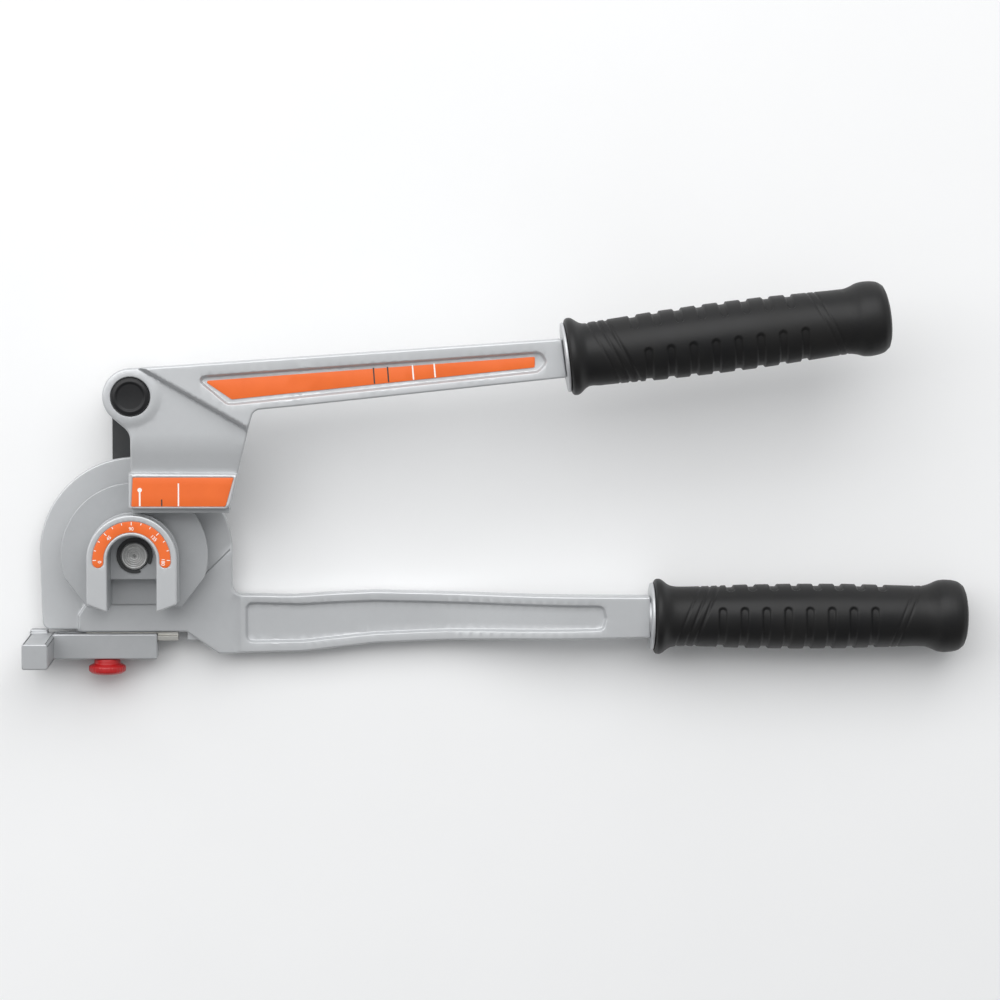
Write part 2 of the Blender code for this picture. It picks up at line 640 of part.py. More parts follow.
tang_axis = UPPER_AXIS.copy()
tang_axis.translation /= MM
upper_tang = along(turned(bar(TANG_RADIUS, -6.0, 167.0), 20), tang_axis)
handle = finish("upper_handle_casting", prism(CHEEK_OUTLINE, CHEEK_BACK, CHEEK_FRONT), *PAINTED_CASTING)
join(
    handle,
    prism(SHOE_PLATE_OUTLINE, CHEEK_BACK, SHOE_PLATE_FRONT),
    prism(CORE_OUTLINE, CORE_BACK, CHEEK_BACK + 0.6),
    prism(RIB_OUTLINE, RIB_BACK, CORE_BACK + 0.6),
    moved(turned(boss_profile, 36), y=LINK_LENGTH),
    tilted(BEAM_OUTLINE, -BEAM_HALF_THICKNESS, BEAM_HALF_THICKNESS),
    upper_tang,
)
BEAM_RECESS = rounded(
    [(36.0, 102.6, 1.6), (54.6, 87.8, 4.0), (226.0, 106.6, 3.0), (230.9, 112.0, 3.0), (227.3, 117.3, 3.0)]
)
HANDLE_BORE = 9.3
SHOE_SCREWS = (14.0, 44.0)
SHOE_SCREW_Y = 52.0
cut(
    handle,
    tilted(BEAM_RECESS, BEAM_HALF_THICKNESS - RECESS_DEPTH, 20.0),
    tilted(BEAM_RECESS, -20.0, RECESS_DEPTH - BEAM_HALF_THICKNESS),
    moved(turned(bar(HANDLE_BORE, 5.0, 70.0)), y=LINK_LENGTH),
    moved(turned(bar(CAP_RADIUS + GAP, 52.4, 70.0)), y=LINK_LENGTH),
)
SHOE_LABEL_OUTLINE = rounded(
    [(1.2, 46.6, 0.6), (0.3, 30.4, 0.6), (52.6, 30.4, 1.5), (57.2, 46.6, 0.6)]
)
SHOE_LABEL_RECESS = rounded(
    [(0.9, 46.9, 0.9), (0.0, 30.1, 0.9), (52.85, 30.1, 1.8), (57.55, 46.9, 0.9)]
)
cut(handle, prism(SHOE_LABEL_RECESS, SHOE_PLATE_FRONT - LABEL_RECESS, 70.0))
for x in SHOE_SCREWS:
    cut(handle, moved(turned(bar(2.3, 40.0, 56.4), 12), x, SHOE_SCREW_Y))

shoe_label_back = SHOE_PLATE_FRONT - LABEL_THICKNESS
finish("shoe_label", prism(SHOE_LABEL_OUTLINE, shoe_label_back, SHOE_PLATE_FRONT), *ORANGE_LABEL)
HANDLE_LABEL_OUTLINE = rounded(
    [(41.0, 100.9, 0.6), (56.5, 90.4, 1.0), (224.5, 108.9, 0.6), (224.5, 115.0, 0.6)]
)
label_base = BEAM_HALF_THICKNESS - RECESS_DEPTH + GAP
finish("handle_label", tilted(HANDLE_LABEL_OUTLINE, label_base, label_base + LABEL_THICKNESS), *ORANGE_LABEL)
finish("handle_bush", turned(ring(LINK_PIN_RADIUS + 0.2, HANDLE_BORE - GAP, 11.0, 52.0)), *BRONZE)
cap_profile = [
    (0, 55.7),
    (CAP_RADIUS, 55.7),
    (CAP_RADIUS, 59.8),
    (CAP_RADIUS - 0.8, 60.6),
    (8.2, 60.6),
    (7.6, 60.0),
    (0, 60.0),
]
finish("pivot_cap", turned(cap_profile), *BLACK_PLASTIC)
for name in ("handle_bush", "pivot_cap"):
    bpy.data.objects[name].location.y = LINK_LENGTH * MM


# ---- Forming shoe: presses the tube against whichever die groove it lies in ----

LARGE_LAND, SMALL_LAND, SHOE_BACK, SHOE_FRONT = RIM_RADIUS + 0.4, RIDGE_RADIUS + 0.4, 16.2, 51.6


def shoe_groove(bend, tube, middle, land, steps=8):
    """(y, z) points of the shallow groove that a tube leaves above the shoe's land."""
    size = tube / 2 + GROOVE_PLAY
    end = asin(sqrt(size * size - (land - bend) ** 2) / size)
    angles = [-end + 2 * end * i / steps for i in range(steps + 1)]
    return [(bend + size * cos(a), middle + size * sin(a)) for a in angles]


shoe_section = [
    (SHOE_TOP, SHOE_BACK),
    (LARGE_LAND, SHOE_BACK),
    *shoe_groove(LARGE_BEND, LARGE_TUBE, LARGE_GROOVE_Z, LARGE_LAND),
    (LARGE_LAND, RIM_FRONT + GAP),
    (SMALL_LAND, RIM_FRONT + GAP),
    *shoe_groove(SMALL_BEND, MEDIUM_TUBE, MEDIUM_GROOVE_Z, SMALL_LAND),
    *shoe_groove(SMALL_BEND, SMALL_TUBE, SMALL_GROOVE_Z, SMALL_LAND),
    (SMALL_LAND, SHOE_FRONT),
    (SHOE_TOP, SHOE_FRONT),
]
shoe = finish("forming_shoe", along_x(shoe_section, SHOE_LEFT, SHOE_RIGHT), *ZINC_STEEL)
for side, x in zip(("left", "right"), SHOE_SCREWS):
    cut(shoe, moved(turned(bar(4.6, 10.0, 21.0), 16), x, SHOE_SCREW_Y))
    cut(shoe, moved(turned(bar(2.3, 10.0, 60.0), 12), x, SHOE_SCREW_Y))
    screw = socket_screw(f"shoe_screw_{side}", 4.3, 2.0, 16.6, 20.7, 56.0)
    screw.location = (x * MM, SHOE_SCREW_Y * MM, 0)


# ---- Hook slide: holds the tube's free end, and slides along the rail for each tube size ----

JAW_OUTLINE = rounded(
    [
        (JAW_X, JAW_Y, 1.2),
        (JAW_X + JAW_SIZE, JAW_Y, 1.2),
        (JAW_X + JAW_SIZE, JAW_Y + JAW_SIZE, 1.2),
        (JAW_X, JAW_Y + JAW_SIZE, 1.2),
    ],
    3,
)
slide_section = [
    (SLIDE_TOP, SLIDE_BACK),
    (SLIDE_BOTTOM, SLIDE_BACK),
    (SLIDE_BOTTOM, SLIDE_FRONT),
    (SLIDE_TOP, SLIDE_FRONT),
]
hook_slide = finish("hook_slide", along_x(slide_section, SLIDE_LEFT, SLIDE_RIGHT), *PAINTED_CASTING)
channel = tee(STEM_HALF + GAP, FLANGE_HALF + GAP, SLIDE_TOP + 1, FLANGE_TOP + GAP, RAIL_BOTTOM - GAP)
join(
    hook_slide,
    prism(JAW_OUTLINE, SLIDE_BACK, JAW_FRONT),
    prism(rectangle(JAW_X + 0.4, -49.0, -51.0, -44.6), SLIDE_BACK, 10.3),
)
GUIDE_RADIUS, STEM_HOLE = 3.4, NOSE_RADIUS + 0.3
BORE_TOP, BORE_BOTTOM = -51.9, SLIDE_BOTTOM - 1
cut(
    hook_slide,
    along_x(channel, RAIL_LEFT - HOOK_TRAVEL - GAP, SLIDE_RIGHT + 1),
    moved(along(turned(bar(GUIDE_RADIUS, BORE_BOTTOM, BORE_TOP), 20), AXIS_Y), KNOB_X, 0, RAIL_MIDDLE),
    moved(along(turned(bar(STEM_HOLE, BORE_BOTTOM, -49.0), 12), AXIS_Y), KNOB_X, 0, RAIL_MIDDLE),
)


# ---- Spring plunger and its pull knob, about the y axis at the knob ----

KNOB_AXIS = Matrix.Translation(Vector((KNOB_X, 0, RAIL_MIDDLE)) * MM) @ AXIS_Y
plunger_profile = [
    (0, -66.0),
    (NOSE_RADIUS, -66.0),
    (NOSE_RADIUS, -53.4),
    (GUIDE_RADIUS - 0.4, -53.4),
    (GUIDE_RADIUS - 0.4, -52.2),
    (NOSE_RADIUS, -52.2),
    (NOSE_RADIUS, NOSE_TOP - 0.5),
    (NOSE_RADIUS - 0.5, NOSE_TOP),
    (0, NOSE_TOP),
]
lock_plunger = finish("lock_plunger", turned(plunger_profile, 16), *TURNED_STEEL)
knob_profile = [
    (0, -69.9),
    (8.6, -69.9),
    (10.0, -69.2),
    (KNOB_RADIUS, -67.9),
    (KNOB_RADIUS, -64.4),
    (10.0, -63.1),
    (8.8, -62.5),
    (7.0, -62.4),
    (7.0, -61.2),
    (NOSE_RADIUS + 0.2, -61.2),
    (NOSE_RADIUS + 0.2, -66.3),
    (0, -66.3),
]
lock_knob = finish("lock_knob", turned(knob_profile, 28), *RED_PLASTIC)
guide_ring = ring(STEM_HOLE, GUIDE_RADIUS - 0.2, -60.8, -59.0)
plunger_guide = finish("plunger_guide", turned(guide_ring, 20), *BRONZE)


def coil_spring(name, radius, wire, start, turns, pitch, steps=14, sides=6):
    """A round-wire helix about z."""
    sections = []
    for i in range(round(turns * steps) + 1):
        a = 2 * pi * i / steps
        out = Vector((cos(a), sin(a), 0))
        centre = out * radius + Vector((0, 0, start + pitch * i / steps))
        section = []
        for k in range(sides):
            b = 2 * pi * k / sides
            section.append(centre + out * (wire * cos(b)) + Vector((0, 0, wire * sin(b))))
        sections.append(section)
    return finish(name, lofted(sections), *ZINC_STEEL)


plunger_spring = coil_spring("plunger_spring", 2.6, 0.35, -58.4, 2, 0.85)
for piece in (lock_plunger, lock_knob, plunger_guide, plunger_spring):
    piece.matrix_world = KNOB_AXIS


# ---- Pivots: each moving group hangs from an empty on its joint's axis ----


def pivot(name, x, y, z, carrier, names):
    empty = bpy.data.objects.new(name, None)
    bpy.context.scene.collection.objects.link(empty)
    empty.location = (x * MM, y * MM, z * MM)
    bpy.context.view_layer.update()
    if carrier:
        empty.parent = carrier
        empty.matrix_parent_inverse = carrier.matrix_world.inverted()
    for child_name in names:
        child = bpy.data.objects[child_name]
        child.parent = empty
        child.matrix_parent_inverse = Matrix.Translation((x * MM, y * MM, z * MM)).inverted()
    return empty


for name in ("link_pin", "link_pin_clip", "handle_washer"):
    bpy.data.objects[name].location.y = LINK_LENGTH * MM
link_names = ("link_bar", "link_bush", "link_washer", "link_pin", "link_pin_clip", "handle_washer")
handle_names = (
    "upper_handle_casting",
    "forming_shoe",
    "shoe_screw_left",
    "shoe_screw_right",
    "shoe_label",
    "handle_label",
    "handle_bush",
    "pivot_cap",
    "upper_grip",
    "upper_grip_collar",
)
link_pivot = pivot("link_pivot", 0, 0, 0, None, link_names)
pivot("handle_pivot", 0, LINK_LENGTH, 0, link_pivot, handle_names)
hook_names = ("hook_slide", "plunger_guide", "plunger_spring")
hook_guide = pivot("hook_guide", KNOB_X, SLIDE_TOP, RAIL_MIDDLE, None, hook_names)
pivot("knob_guide", KNOB_X, SLIDE_BOTTOM, RAIL_MIDDLE, hook_guide, ("lock_knob", "lock_plunger"))
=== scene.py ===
"""Looks of the manual tube bender: its finished pieces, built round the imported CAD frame.

Shapes are worked out in millimetres and turned into metres when a piece is made. Z is the bending axis,
the fixed handle runs along X, and the tool lies on its back.
"""

from math import atan2, cos, pi, radians, sin, tan

import bmesh
import bpy
import numpy as np
from mathutils import Matrix, Vector
from mathutils.geometry import delaunay_2d_cdt


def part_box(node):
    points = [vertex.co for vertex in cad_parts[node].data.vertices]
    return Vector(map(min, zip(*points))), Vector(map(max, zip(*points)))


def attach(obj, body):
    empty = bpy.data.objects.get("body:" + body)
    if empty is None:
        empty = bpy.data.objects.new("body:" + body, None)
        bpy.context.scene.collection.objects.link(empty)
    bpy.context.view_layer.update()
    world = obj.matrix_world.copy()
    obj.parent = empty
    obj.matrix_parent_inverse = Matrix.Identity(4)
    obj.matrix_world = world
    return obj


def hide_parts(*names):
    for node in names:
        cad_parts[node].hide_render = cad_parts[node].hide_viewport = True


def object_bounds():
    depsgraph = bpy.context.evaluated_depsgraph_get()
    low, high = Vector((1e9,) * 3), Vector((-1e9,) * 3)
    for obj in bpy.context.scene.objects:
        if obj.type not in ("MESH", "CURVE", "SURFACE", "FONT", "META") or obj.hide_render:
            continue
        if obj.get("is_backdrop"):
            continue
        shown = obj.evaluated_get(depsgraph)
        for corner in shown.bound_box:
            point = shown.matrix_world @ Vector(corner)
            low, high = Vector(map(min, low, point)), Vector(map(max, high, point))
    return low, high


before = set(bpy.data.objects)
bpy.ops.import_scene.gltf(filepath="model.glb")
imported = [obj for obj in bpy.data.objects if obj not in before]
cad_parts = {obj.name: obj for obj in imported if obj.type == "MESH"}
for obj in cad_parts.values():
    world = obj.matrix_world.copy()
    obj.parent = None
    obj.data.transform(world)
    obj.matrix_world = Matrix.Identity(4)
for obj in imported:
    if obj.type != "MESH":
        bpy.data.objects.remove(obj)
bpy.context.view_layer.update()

MM = 0.001


def span(node):
    """Lowest and highest corners of a CAD node, in millimetres."""
    low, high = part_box(node)
    return Vector(low) / MM, Vector(high) / MM


# ---- Painted alloy castings: the finish shared by handles, dies and hook ----
# The real castings are aluminium, blasted and sprayed with a fine silver-grey paint. The paint is slightly
# grainy, and it is a little darker and rougher where it has been handled.


def node_group(name, inputs, outputs):
    """An empty shader node group with named sockets, and its two end nodes."""
    tree = bpy.data.node_groups.new(name, "ShaderNodeTree")
    for socket_name, kind, value in inputs:
        socket = tree.interface.new_socket(socket_name, in_out="INPUT", socket_type=kind)
        socket.default_value = value
    for socket_name, kind in outputs:
        tree.interface.new_socket(socket_name, in_out="OUTPUT", socket_type=kind)
    return tree, tree.nodes.new("NodeGroupInput"), tree.nodes.new("NodeGroupOutput")


def surface_group():
    """Two sizes of noise that vary a finish's colour and roughness and roughen its surface."""
    inputs = [
        ("Colour", "NodeSocketColor", (0.5, 0.5, 0.5, 1)),
        ("Marked Colour", "NodeSocketColor", (0.4, 0.4, 0.4, 1)),
        ("Roughness", "NodeSocketFloat", 0.4),
        ("Roughness Change", "NodeSocketFloat", 0.1),
        ("Grain Scale", "NodeSocketFloat", 900.0),
        ("Grain Depth", "NodeSocketFloat", 0.00002),
        ("Mark Scale", "NodeSocketFloat", 25.0),
    ]
    outputs = [
        ("Colour", "NodeSocketColor"),
        ("Roughness", "NodeSocketFloat"),
        ("Normal", "NodeSocketVector"),
    ]
    tree, given, result = node_group("Grained Finish", inputs, outputs)
    place = tree.nodes.new("ShaderNodeTexCoord")
    grain = tree.nodes.new("ShaderNodeTexNoise")
    grain.inputs["Detail"].default_value = 3
    marks = tree.nodes.new("ShaderNodeTexNoise")
    marks.inputs["Detail"].default_value = 6
    marks.inputs["Roughness"].default_value = 0.62
    spread = tree.nodes.new("ShaderNodeMapRange")
    spread.inputs["From Min"].default_value = 0.35
    spread.inputs["From Max"].default_value = 0.75
    tint = tree.nodes.new("ShaderNodeMix")
    tint.data_type = "RGBA"
    change = tree.nodes.new("ShaderNodeMath")
    change.operation = "MULTIPLY_ADD"
    bump = tree.nodes.new("ShaderNodeBump")
    bump.inputs["Strength"].default_value = 1.0
    link = tree.links.new
    link(place.outputs["Object"], grain.inputs["Vector"])
    link(place.outputs["Object"], marks.inputs["Vector"])
    link(given.outputs["Grain Scale"], grain.inputs["Scale"])
    link(given.outputs["Mark Scale"], marks.inputs["Scale"])
    link(marks.outputs["Fac"], spread.inputs["Value"])
    link(spread.outputs["Result"], tint.inputs["Factor"])
    link(given.outputs["Colour"], tint.inputs["A"])
    link(given.outputs["Marked Colour"], tint.inputs["B"])
    link(spread.outputs["Result"], change.inputs[0])
    link(given.outputs["Roughness Change"], change.inputs[1])
    link(given.outputs["Roughness"], change.inputs[2])
    link(grain.outputs["Fac"], bump.inputs["Height"])
    link(given.outputs["Grain Depth"], bump.inputs["Distance"])
    link(tint.outputs["Result"], result.inputs["Colour"])
    link(change.outputs["Value"], result.inputs["Roughness"])
    link(bump.outputs["Normal"], result.inputs["Normal"])
    return tree


GRAINED = surface_group()


def finish(
    name, colour, marked, roughness, change, grain, depth, marks, metallic=0.0, coat=0.0, shine=0.5
):
    """A material with the grained finish. Grain is in grains per metre, and depth is in metres."""
    material = bpy.data.materials.new(name)
    material.use_nodes = True
    tree = material.node_tree
    shader = tree.nodes["Principled BSDF"]
    group = tree.nodes.new("ShaderNodeGroup")
    group.node_tree = GRAINED
    group.inputs["Colour"].default_value = (*colour, 1)
    group.inputs["Marked Colour"].default_value = (*marked, 1)
    group.inputs["Roughness"].default_value = roughness
    group.inputs["Roughness Change"].default_value = change
    group.inputs["Grain Scale"].default_value = grain
    group.inputs["Grain Depth"].default_value = depth
    group.inputs["Mark Scale"].default_value = marks
    shader.inputs["Metallic"].default_value = metallic
    shader.inputs["Coat Weight"].default_value = coat
    shader.inputs["Coat Roughness"].default_value = 0.15
    shader.inputs["Specular IOR Level"].default_value = shine
    tree.links.new(group.outputs["Colour"], shader.inputs["Base Color"])
    tree.links.new(group.outputs["Roughness"], shader.inputs["Roughness"])
    tree.links.new(group.outputs["Normal"], shader.inputs["Normal"])
    return material


silver_paint = finish(
    "silver_paint", (0.57, 0.58, 0.59), (0.52, 0.53, 0.54), 0.38, 0.08, 1500, 0.000015, 30, metallic=0.45
)


def even_normals(bm):
    """One normal a vertex. Wide faces count most, so flats stay flat and narrow edges carry the turn."""
    sums = [sum((f.normal * f.calc_area() for f in v.link_faces), Vector()) for v in bm.verts]
    return [s.normalized() if s.length > 0 else Vector((0, 0, 1)) for s in sums]


def piece(name, bm, material, body, stands_for, sharp=None):
    """Turns millimetre geometry into a finished piece that stands for its CAD nodes and rides on their body.

    With no sharp angle the piece is one smooth skin, for shapes whose edges are all rounded.
    """
    bmesh.ops.remove_doubles(bm, verts=bm.verts, dist=0.004)
    bmesh.ops.recalc_face_normals(bm, faces=bm.faces)
    normals = even_normals(bm) if sharp is None else []
    bmesh.ops.scale(bm, vec=(MM, MM, MM), verts=bm.verts)
    mesh = bpy.data.meshes.new(name)
    bm.to_mesh(mesh)
    bm.free()
    mesh.shade_smooth()
    if sharp is None:
        mesh.normals_split_custom_set_from_vertices(normals)
    else:
        mesh.set_sharp_from_angle(angle=radians(sharp))
    mesh.materials.append(material)
    obj = bpy.data.objects.new(name, mesh)
    bpy.context.scene.collection.objects.link(obj)
    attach(obj, body)
    if stands_for:
        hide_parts(*stands_for)
    return obj


def absorb(bm, *others):
    """Adds the faces of other shells to bm."""
    for other in others:
        mesh = bpy.data.meshes.new("shell")
        other.to_mesh(mesh)
        other.free()
        bm.from_mesh(mesh)
        bpy.data.meshes.remove(mesh)
    return bm


# ---- Fixed handle ----
# One sand-cast and painted piece: a thin round plate behind the dies, a thicker web below them, and a beam of
# I section that bends forward to its round tang. All its corners have cast radii.


def rounded(corners, spacing=3.0):
    """A closed loop of points through (x, y, radius) corners, with points at most spacing apart."""
    points = []
    for i, (x, y, radius) in enumerate(corners):
        here = Vector((x, y))
        if radius == 0:
            points.append(here)
            continue
        before = (Vector(corners[i - 1][:2]) - here).normalized()
        after = (Vector(corners[(i + 1) % len(corners)][:2]) - here).normalized()
        half_angle = before.angle(after) / 2
        centre = here + (before + after).normalized() * (radius / sin(half_angle))
        first = here + before * (radius / tan(half_angle)) - centre
        last = here + after * (radius / tan(half_angle)) - centre
        turn = (atan2(last.y, last.x) - atan2(first.y, first.x) + pi) % (2 * pi) - pi
        steps = max(3, round(abs(turn) * radius / spacing * 3))
        for k in range(steps + 1):
            a = atan2(first.y, first.x) + turn * k / steps
            points.append(centre + Vector((cos(a), sin(a))) * radius)
    dense = []
    for here, there in zip(points, points[1:] + points[:1]):
        steps = max(1, round((there - here).length / spacing))
        dense += [here.lerp(there, k / steps) for k in range(steps)]
    return np.array([(p.x, p.y) for p in dense])


def arc_corners(cx, cy, radius, start, end, steps):
    """Corners along an arc, with angles in degrees, for a rounded loop."""
    angles = [radians(start + (end - start) * i / steps) for i in range(steps + 1)]
    return [(cx + radius * cos(a), cy + radius * sin(a), 0) for a in angles]


def depth_inside(x, y, loop):
    """Distance of each point from a closed loop: positive inside it, negative outside."""
    depths = []
    start, along = loop, np.roll(loop, -1, axis=0) - loop
    for px, py in zip(np.array_split(x, len(x) // 2000 + 1), np.array_split(y, len(x) // 2000 + 1)):
        rx, ry = px[:, None] - start[:, 0], py[:, None] - start[:, 1]
        share = (rx * along[:, 0] + ry * along[:, 1]) / (along**2).sum(1)
        share = np.clip(share, 0, 1)
        gap = np.hypot(rx - share * along[:, 0], ry - share * along[:, 1]).min(1)
        straddles = (ry < 0) != (ry < along[:, 1])
        slope = np.where(along[:, 1] == 0, 1e-9, along[:, 1])
        crossings = straddles & (rx < ry / slope * along[:, 0])
        depths.append(np.where(crossings.sum(1) % 2 == 1, gap, -gap))
    return np.concatenate(depths)


def inset(loop, distance):
    """Runs of points that follow a loop at a distance inside it. They stop where the loop is too tight."""
    tangent = np.roll(loop, -1, axis=0) - np.roll(loop, 1, axis=0)
    tangent /= np.linalg.norm(tangent, axis=1)[:, None]
    area = (loop[:, 0] * np.roll(loop[:, 1], -1) - np.roll(loop[:, 0], -1) * loop[:, 1]).sum()
    normal = np.stack([-tangent[:, 1], tangent[:, 0]], axis=1) * np.sign(area)
    points = loop + normal * distance
    good = np.abs(depth_inside(points[:, 0], points[:, 1], loop) - distance) < 0.04 + 0.05 * abs(distance)
    return points, good


def smooth(t):
    t = np.clip(t, 0, 1)
    return t * t * (3 - 2 * t)


def edge_drop(depth, radius):
    """How far a rounded rim lies below the flat, by distance from the edge."""
    left = np.clip(radius - depth, 0, radius)
    return radius - np.sqrt(radius * radius - left * left)


def sheet(outline, lines, height, grid=6.0):
    """Triangles over a loop, with edges along the given lines, lifted to a height: (points, triangles)."""
    points = [tuple(p) for p in outline]
    edges = []
    for loop, distances in lines:
        for distance in distances:
            found, good = inset(loop, distance)
            good &= depth_inside(found[:, 0], found[:, 1], outline) > 0.02
            index = {}
            for i in np.flatnonzero(good):
                index[i] = len(points)
                points.append(tuple(found[i]))
            for i in index:
                after = (i + 1) % len(loop)
                if after in index:
                    edges.append((index[i], index[after]))
    low, high = outline.min(0), outline.max(0)
    gx, gy = np.meshgrid(np.arange(low[0], high[0], grid), np.arange(low[1], high[1], grid))
    gx, gy = gx.ravel() + 0.37, gy.ravel() + 0.21
    inner = depth_inside(gx, gy, outline) > 1.5
    points += list(zip(gx[inner], gy[inner]))
    made = delaunay_2d_cdt([Vector(p) for p in points], edges, [list(range(len(outline)))], 1, 1e-4)
    flat = np.array([(p.x, p.y) for p in made[0]])
    lifted = np.column_stack([flat, height(flat[:, 0], flat[:, 1])])
    return lifted, [tuple(f) for f in made[2]]


def relief(outline, lines, front, back, holes=()):
    """A closed casting between a front and a back height, with a wall round its outline and its holes."""
    top, triangles = sheet(outline, lines, front)
    centres = top[np.array(triangles)].mean(1)
    keep = np.ones(len(triangles), bool)
    for hole in holes:
        keep &= depth_inside(centres[:, 0], centres[:, 1], hole) < 0
    triangles = [t for t, kept in zip(triangles, keep) if kept]
    bm = bmesh.new()
    upper = [bm.verts.new(p) for p in top]
    lower = [bm.verts.new((p[0], p[1], z)) for p, z in zip(top, back(top[:, 0], top[:, 1]))]
    sides = {}
    for a, b, c in triangles:
        bm.faces.new((upper[a], upper[b], upper[c]))
        bm.faces.new((lower[c], lower[b], lower[a]))
        for edge in ((a, b), (b, c), (c, a)):
            if edge[::-1] in sides:
                del sides[edge[::-1]]
            else:
                sides[edge] = True
    for a, b in sides:
        bm.faces.new((upper[b], upper[a], lower[a], lower[b]))
    loose = [v for v in bm.verts if not v.link_faces]
    bmesh.ops.delete(bm, geom=loose, context="VERTS")
    return bm


def turned(profile, segments=96):
    """A solid of revolution about z from (radius, z) points. It ends on the axis, or closes on itself."""
    bm = bmesh.new()
    verts = [bm.verts.new((radius, 0, z)) for radius, z in profile]
    edges = [bm.edges.new(pair) for pair in zip(verts, verts[1:])]
    if profile[0][0] > 0:
        edges.append(bm.edges.new((verts[-1], verts[0])))
    bmesh.ops.spin(
        bm, geom=verts + edges, axis=(0, 0, 1), cent=(0, 0, 0), steps=segments, angle=2 * pi, use_merge=True
    )
    bmesh.ops.remove_doubles(bm, verts=bm.verts, dist=0.002)
    return bm


def placed(bm, matrix):
    bmesh.ops.transform(bm, matrix=matrix, verts=bm.verts)
    return bm


def soft_corners(profile, radius, steps=4):
    """The same profile with each of its inner corners rounded."""
    points = [profile[0]]
    for before, here, after in zip(profile, profile[1:], profile[2:]):
        here = Vector(here)
        back, on = Vector(before) - here, Vector(after) - here
        reach = min(radius, back.length * 0.45, on.length * 0.45)
        start, end = here + back.normalized() * reach, here + on.normalized() * reach
        for k in range(steps + 1):
            t = k / steps
            points.append(tuple((1 - t) ** 2 * start + 2 * t * (1 - t) * here + t * t * end))
    return points + [profile[-1]]


AXIS_X = Matrix.Rotation(pi / 2, 4, "Y")
AXIS_Y = Matrix.Rotation(-pi / 2, 4, "X")
casting_high = span("lower_handle_casting")[1]
plate_radius = casting_high.y
web_level = span("rear_die")[0].z - 0.3
plate_level = web_level - 1.5
plate_back = plate_level - 3.3
block_back = 3.3
beam_middle, beam_half, tang_middle, tang_half = 7.6, 5.8, span("lower_grip")[0].z + 21.8, 7.0
BEND_START, BEND_END = 165.0, 255.0
BODY_RIGHT, BODY_BOTTOM, BEAM_START = 54.6, -58.2, 60.0
BEAM_END = span("lower_grip_collar")[0].x - 0.3
CAST_RADIUS, RECESS_DEPTH, RECESS_DRAFT = 1.1, 2.4, 1.9
BEAM_TOP = [(294.0, -24.4), (250.0, -24.1), (213.0, -23.9), (175.0, -23.4), (136.0, -22.5), (113.0, -23.5)]
BEAM_BOTTOM = [(64.0, -57.9), (95.0, -57.2), (113.0, -55.1), (136.0, -52.4), (175.0, -50.8), (213.0, -49.5)]
lower_outline = rounded(
    arc_corners(0, 0, plate_radius, 4, 178, 60)
    + [(-53.6, -44.2, 5.0), (-33.9, -44.2, 0.4), (-33.9, -45.5, 0.4), (28.6, -45.5, 1.5)]
    + [(47.0, BODY_BOTTOM, 3.0), (56.0, BODY_BOTTOM, 6.0)]
    + [(x, y, 12.0) for x, y in BEAM_BOTTOM]
    + [(BEAM_END, -47.9, 0.8), (BEAM_END, -24.4, 0.8)]
    + [(x, y, 12.0) for x, y in BEAM_TOP[1:]]
    + [(90.0, -25.0, 12.0), (BODY_RIGHT, -24.3, 5.0)]
)
web_outline = rounded(
    [(BODY_RIGHT + 5, 8.0, 0), (25.2, -25.9, 2.0), (-26.0, -25.9, 1.0), (-33.2, -36.0, 2.0)]
    + [(-33.2, -70.0, 0), (BODY_RIGHT + 5, -70.0, 0)]
)
lower_recess = rounded(
    [(62.8, -29.2, 3.5), (62.8, -51.6, 3.5), (95.0, -51.2, 12.0), (136.0, -46.8, 12.0), (175.0, -45.2, 12.0)]
    + [(266.8, -43.2, 3.0), (268.4, -36.5, 2.0), (266.8, -29.8, 3.0)]
    + [(175.0, -28.9, 12.0), (136.0, -28.0, 12.0)]
    + [(113.0, -28.9, 12.0), (95.0, -30.0, 12.0)]
)


def beam_bend(x):
    """Middle level and half thickness of the fixed handle's beam."""
    share = smooth((x - BEND_START) / (BEND_END - BEND_START))
    return beam_middle + (tang_middle - beam_middle) * share, beam_half + (tang_half - beam_half) * share


def lower_front(x, y):
    rim = depth_inside(x, y, lower_outline)
    level = plate_level + (web_level - plate_level) * smooth(depth_inside(x, y, web_outline) / 1.2 + 0.5)
    middle, half = beam_bend(x)
    on_beam = smooth((x - BODY_RIGHT) / (BEAM_START - BODY_RIGHT)) * smooth((-19.0 - y) / 3)
    level = level * (1 - on_beam) + (middle + half) * on_beam
    level -= RECESS_DEPTH * smooth(depth_inside(x, y, lower_recess) / RECESS_DRAFT + 0.5)
    return level - edge_drop(rim, CAST_RADIUS)


def lower_back(x, y):
    rim = depth_inside(x, y, lower_outline)
    in_block = smooth((-16.0 - y) / 2) * smooth((x + 35.0) / 2)
    level = plate_back + (block_back - plate_back) * in_block
    middle, half = beam_bend(x)
    on_beam = smooth((x - BODY_RIGHT) / (BEAM_START - BODY_RIGHT))
    level = level * (1 - on_beam) + (middle - half) * on_beam
    level += RECESS_DEPTH * smooth(depth_inside(x, y, lower_recess) / RECESS_DRAFT + 0.5)
    return level + edge_drop(rim, CAST_RADIUS)


